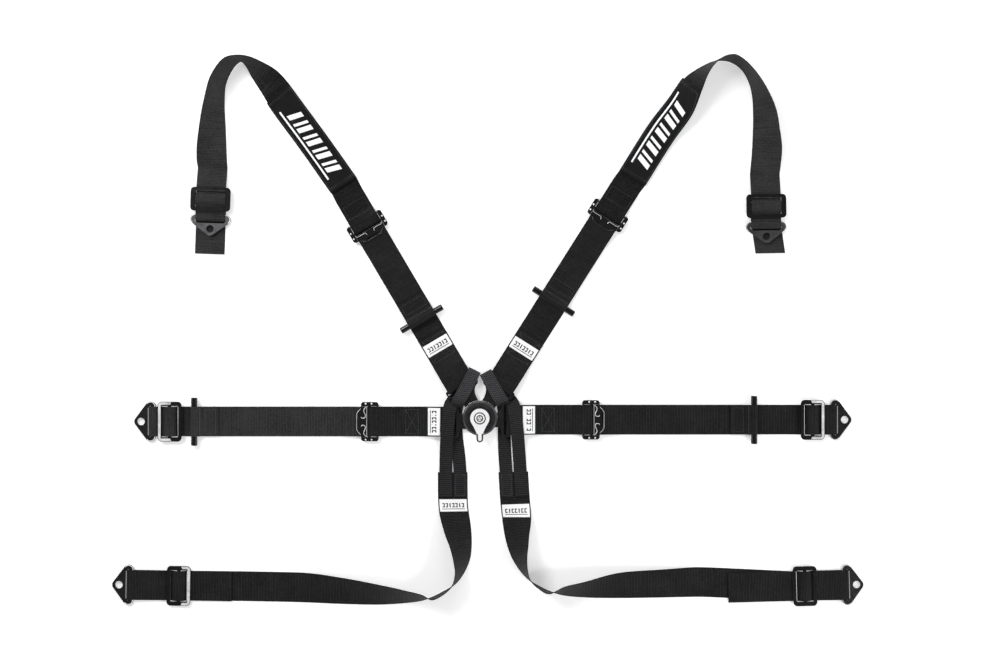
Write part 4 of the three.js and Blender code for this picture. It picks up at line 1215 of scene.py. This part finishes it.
def shoulder_end(name):
    end = ENDS[name]
    low, bracket_z, loop_high = end_heights(name)
    slide_z = slide_height(name)
    loop_r = (loop_high - low) / 2
    high = slide_z + SLIDE_THICK + WRAP
    turn_x = SHOULDER_SLOT[1] - 0.5
    border = SLIDE_LENGTH / 2
    fold_x = end["slide"] + 6

    def lean(x):
        return end["lean"] * (BRACKET_END - x)

    return [
        (end["slide"] + border + 34, FLOOR_MID), (end["slide"] + border, loop_high),
        *slide_bump(end["slide"], loop_high, high),
        (end["slide"] - border, loop_high),
        *arc(turn_x, bracket_z + BRACKET_THICK / 2, loop_r, 90, 270),
        (fold_x - 2, low),
        *arc(fold_x, FLOOR_MID + LAYER / 2, LAYER / 2, 90, -90, 6),
        (BRACKET_END, FLOOR_MID, lean(BRACKET_END)), (0, FLOOR_MID, lean(0)),
        (-end["tail"], FLOOR_MID, lean(-end["tail"])),
    ]


for name in ("lap_left", "lap_right"):
    arm, end = ARMS[name], ENDS[name]
    lock_x = arm["adjuster"] + LOCK_S
    start = side_view([*arc(lock_x, LOCK_Z, LOCK_WRAP, 186, 270, 6), (lock_x + 4, FLOOR_MID)], arm)
    path = Path(chain(start, side_view(doubled_end(name), end)))
    c0 = anchor_end(name, path, f"{name}_outer", 32)
    points = row_point(arm, lock_x + 6), row_point(arm, lock_x + 170)
    strap(f"{name}_anchor_strap", path, END_WEBBING[name], None, f"{name}_anchor_webbing", (0, c0),
          (f"{name}_inner", f"{name}_outer", *points))

for name in ("shoulder_left", "shoulder_right"):
    arm, end = ARMS[name], ENDS[name]
    bend = bend_stations(BENDS[name], True)
    path = Path(chain(side_view(shoulder_upper_start(arm), arm), bend, side_view(shoulder_end(name), end)))
    upper = f"{name}_upper"
    c0 = anchor_end(name, path, upper, 48)
    strap(f"{name}_upper_strap", path, SHOULDER_WEBBING, upper, f"{name}_upper_webbing", (0, c0))
    s_a, s_b = (on_top(path, arm, arm["adjuster"] + x) for x in (10, 33))
    stitches(f"{name}_adjuster_sewing", path, box_stitch(s_a, s_b, SEW_HALF, False), upper, SEW_LIFT,
             face=face_up(path, s_b))

    share = {"shoulder_left": 8 / 36, "shoulder_right": 7 / 36}[name]
    pad_path = Path(bend[: int(len(bend) * share) + 1])
    face = face_up(pad_path, 4)
    lift = WEB_THICK / 2 + 2 * GAP + PAD_THICK / 2
    across = [-1, -0.99, -0.96, -0.9, -0.8, -0.6, -0.4, -0.2, 0, 0.2, 0.4, 0.6, 0.8, 0.9, 0.96, 0.99, 1]
    pad = ribbon(f"{name}_shoulder_pad", pad_path, (0, pad_path.total), PAD, upper, pad_profile, across,
                 face * lift, PAD_WIDTH / WEB_WIDTH)
    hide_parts(f"{name}_pad")
    ends = [((s, -24), (s, 24)) for s in (5, 7.4, pad_path.total - 5, pad_path.total - 7.4)]
    sides = [((5, y), (pad_path.total - 5, y)) for y in (-23, 23)]
    stitches(f"{name}_pad_sewing", pad_path, ends + sides, upper, lift + PAD_THICK / 2 * 0.93, face=face)

    shapes = []
    for k in range(9):
        s0 = 24 + k * 13.5
        wide = 5 if k % 2 else 9
        for row in range(8):
            y0, y1 = -14 + row * 3, -14 + (row + 1) * 3
            a, b = s0 + (y0 + 14) * 0.35, s0 + (y1 + 14) * 0.35
            shapes.append([(a, y0), (a + wide, y0), (b + wide, y1), (b, y1)])
    shapes += [[(s0, 14), (s0 + 5, 14), (s0 + 5, 17), (s0, 17)] for s0 in range(22, 162, 5)]
    surface_patch(f"{name}_pad_print", pad_path, shapes, upper, face * (lift + PAD_THICK / 2 + 0.06), PRINT)

for name in ("leg_left", "leg_right"):
    bend = bend_stations(BENDS[name], False)
    path = Path(chain(bend, side_view(doubled_end(name), ENDS[name])))
    c0 = anchor_end(name, path, "core", 70)
    strap(f"{name}_strap", path, WEBBING, "core", f"{name}_webbing", (0, c0))
    label(f"{name}_label", path, 56 if name.endswith("left") else 66, "core")
    loop_path = Path(loop_stations(NARROW_LOOPS[name]))
    fold_x, fold_y = NARROW_LOOPS[name]["fold"]
    over_lap = ((-40 if name.endswith("left") else 40) * MM, 20 * MM, 0)
    at_fold = (fold_x * MM, (fold_y - 6) * MM, 0)
    strap(f"{name}_narrow_inner_run", loop_path, NARROW_RUN, "core", span=(0, 128))
    strap(f"{name}_narrow_band", loop_path, NARROW, None, f"{name}_narrow_loop", (128, 290),
          between=("core", name.replace("leg", "shoulder") + "_lower", over_lap, at_fold))
    strap(f"{name}_narrow_outer_run", loop_path, NARROW_RUN, "core", span=(290, loop_path.total))
    lines = []
    for s0, s1 in ((3, 38), (loop_path.total - 38, loop_path.total - 3)):
        lines += box_stitch(s0, s1, 8, False)
    stitches(f"{name}_loop_sewing", loop_path, lines, "core", SEW_LIFT, face=face_up(loop_path, 10))

# ---------------- slides and brackets

# Side of the slide that the painted reflection band is on, and where its ends stop.
REFLECTION_BANDS = {"lap_left": (-1, -3), "lap_right": (-1, -3), "leg_left": (1, 4)}


def slide_highlights(name, end, matrix, z):
    """Painted reflection band on a slide, wide on the lap straps, and a painted highlight line along its inner
    edge.
    """
    reach, y = SLIDE_LENGTH / 2, SLIDE_WIDTH / 2
    if name in REFLECTION_BANDS:
        side, stop = REFLECTION_BANDS[name]
        middle = end["slide"]

        def rounded(inset, radius):
            x, w = reach - inset - radius, y - inset - radius
            turn = [(x + px, w + py) for px, py in circle(0, 0, radius, 8, 90, 0)]
            return [*turn, *[(px, -py) for px, py in turn[::-1]]]

        outer = [(stop, y - 0.9), *rounded(0.9, SLIDE_CORNER - 0.9), (stop, 0.9 - y)]
        inner = [(stop + 2, 5.2 - y), *rounded(5.2, 1.2)[::-1], (stop + 2, y - 5.2)]
        outline = [(middle + side * px, py) for px, py in [*outer, *inner]]
        plate_2d(f"{name}_slide_reflection_band", outline, [], z - 0.1, 0.4, 0.15, PAINTED_REFLECTION, matrix, f"{name}_slide")
    # A thin bright tube across the slot's edge, dimmer on the shoulders: painted highlight.
    x = end["slide"] + reach - SLIDE_BORDER + 0.8
    edge = [matrix @ Vector((x, py, z - 0.1)) for py in (-WEB_WIDTH / 2, 0, WEB_WIDTH / 2)]
    radius, metal = (0.2, SATIN) if on_shoulder(name) else (0.35, EDGE_HIGHLIGHT)
    tube(f"{name}_slide_edge_highlight", edge, radius, metal, f"{name}_slide", 8)


TIP_R = 8.5
TIP_X = TIP_R - BRACKET_TIP
LOBE_X = BRACKET_END - BRACKET_LOBE_R - 2.5
LOBE_Y = BRACKET_WIDTH / 2 - BRACKET_LOBE_R
LOBE_REST = math.degrees(0.3)


def bracket_highlights(name, matrix, z, slope):
    """Painted highlights: thin bright tubes along the edges round a bracket's lobes."""
    radius = 0.8 if name.endswith("left") else 0.4
    turn = BRACKET_LOBE_R - radius - 0.3
    for side in (-1, 1):
        arc_points = circle(LOBE_X, side * LOBE_Y, turn, 16, side * -25, side * (90 + slope))
        tube(f"{name}_bracket_edge_{'ab'[side > 0]}",
             [matrix @ Vector((px, py, z - radius * 0.4)) for px, py in arc_points], radius, EDGE_HIGHLIGHT,
             f"{name}_bracket", 10)


for name, end in ENDS.items():
    z0 = slide_height(name)
    matrix = frame_at(end)
    reach = SLIDE_LENGTH / 2
    y = SLIDE_WIDTH / 2
    outline = []
    for cx, cy, a0 in ((1, 1, 0), (-1, 1, 90), (-1, -1, 180), (1, -1, 270)):
        corner = end["slide"] + cx * (reach - SLIDE_CORNER), cy * (y - SLIDE_CORNER)
        outline += circle(*corner, SLIDE_CORNER, 12, a0, a0 + 90)
    space, bevel = (0.15, 0.3) if on_shoulder(name) else (SLOT_SPACE, 0.8)
    holes = []
    for side in (-1, 1):
        xs = sorted((side * SLIDE_BAR / 2, side * (reach - SLIDE_BORDER)))
        holes.append(rectangle(end["slide"] + xs[0], end["slide"] + xs[1], WEB_WIDTH / 2 + space))
    plate_2d(f"{name}_slide_plate", outline, holes, z0, SLIDE_THICK, bevel, BLACK, matrix, f"{name}_slide",
             f"{name}_three_bar_slide")
    slide_highlights(name, end, matrix, z0 + SLIDE_THICK)

    slope = math.degrees(math.atan2(LOBE_Y, LOBE_X - TIP_X))
    outline = circle(TIP_X, 0, TIP_R, 20, 90 + slope, 270 - slope)
    outline += circle(LOBE_X, -LOBE_Y, BRACKET_LOBE_R, 24, 270 - slope, 360 + LOBE_REST)
    outline += [(BRACKET_END, 5 - LOBE_Y), (BRACKET_END, LOBE_Y - 5)]
    outline += circle(LOBE_X, LOBE_Y, BRACKET_LOBE_R, 24, -LOBE_REST, 90 + slope)
    (x0, x1), metal = (SHOULDER_SLOT, SATIN) if on_shoulder(name) else (NEAT_SLOT, DARK)
    w = BRACKET_SLOT_WIDTH / 2
    hole = [(x0, 4 - w), (x0, w - 4), (x0 + 4, w), (x1, w), (x1, -w), (x0 + 4, -w)]
    bracket_z = end_heights(name)[1]
    plate_2d(f"{name}_bracket_plate", outline, [hole, circle(0, 0, BRACKET_HOLE_R, 48)[::-1]], bracket_z,
             BRACKET_THICK, 0.6, metal, matrix, f"{name}_bracket", f"{name}_end_bracket")
    bracket_highlights(name, matrix, bracket_z + BRACKET_THICK, slope)

# ---------------- floor and light

FLOOR_SIZE = 6000
white = plain_material("white_floor", grey(0.93), grey(0.95), 1.0, 3)
corners = [(x * FLOOR_SIZE, y * FLOOR_SIZE, 0) for x, y in ((-1, -1), (1, -1), (1, 1), (-1, 1))]
floor = new_object("floor", corners, [(0, 1, 2, 3)], white, smooth=False)
floor.location.z = -0.0002
floor_shader = next(n for n in white.node_tree.nodes if n.type == "BSDF_PRINCIPLED")
floor_shader.inputs["Emission Color"].default_value = (1, 1, 1, 1)
floor_shader.inputs["Emission Strength"].default_value = 0.35
floor_shader.inputs["Specular IOR Level"].default_value = 0.0

world = bpy.data.worlds.new("studio")
scene.world = world
tree = node_tree(world)
g = Graph(tree)
split = g.node("ShaderNodeSeparateXYZ")
wire(tree, g.node("ShaderNodeTexCoord").outputs["Generated"], split.inputs[0])
sky = g.ramp(split.outputs[2], [
    (0.0, grey(1)), (0.35, grey(1)), (0.6, grey(0.12)), (0.86, grey(0.14)),
    (0.97, grey(0.22)), (1.0, grey(0.25)),
])
background = g.node("ShaderNodeBackground")
background.inputs["Strength"].default_value = 0.9
wire(tree, sky, background.inputs["Color"])
wire(tree, background.outputs[0], g.node("ShaderNodeOutputWorld").inputs[0])

# Each light's name, place in metres, size in metres and power in watts.
LIGHTS = (
    ("key", (-1.5, 1.6, 2.2), 1.2, 46), ("fill", (2.7, -1.5, 2.0), 1.6, 52),
    ("rear", (0.3, 2.6, 1.4), 1.4, 19), ("spark_left", (-1.4, 1.15, 1.5), 0.14, 6),
    ("spark_right", (1.45, -0.95, 1.5), 0.14, 6),
)
for light_name, place, size, power in LIGHTS:
    lamp = bpy.data.lights.new(light_name, "AREA")
    lamp.energy = power
    lamp.size = size
    holder = bpy.data.objects.new(light_name, lamp)
    scene.collection.objects.link(holder)
    holder.location = place
    holder.rotation_euler = (Vector((0.03, 0.14, 0)) - Vector(place)).to_track_quat("-Z", "Y").to_euler()
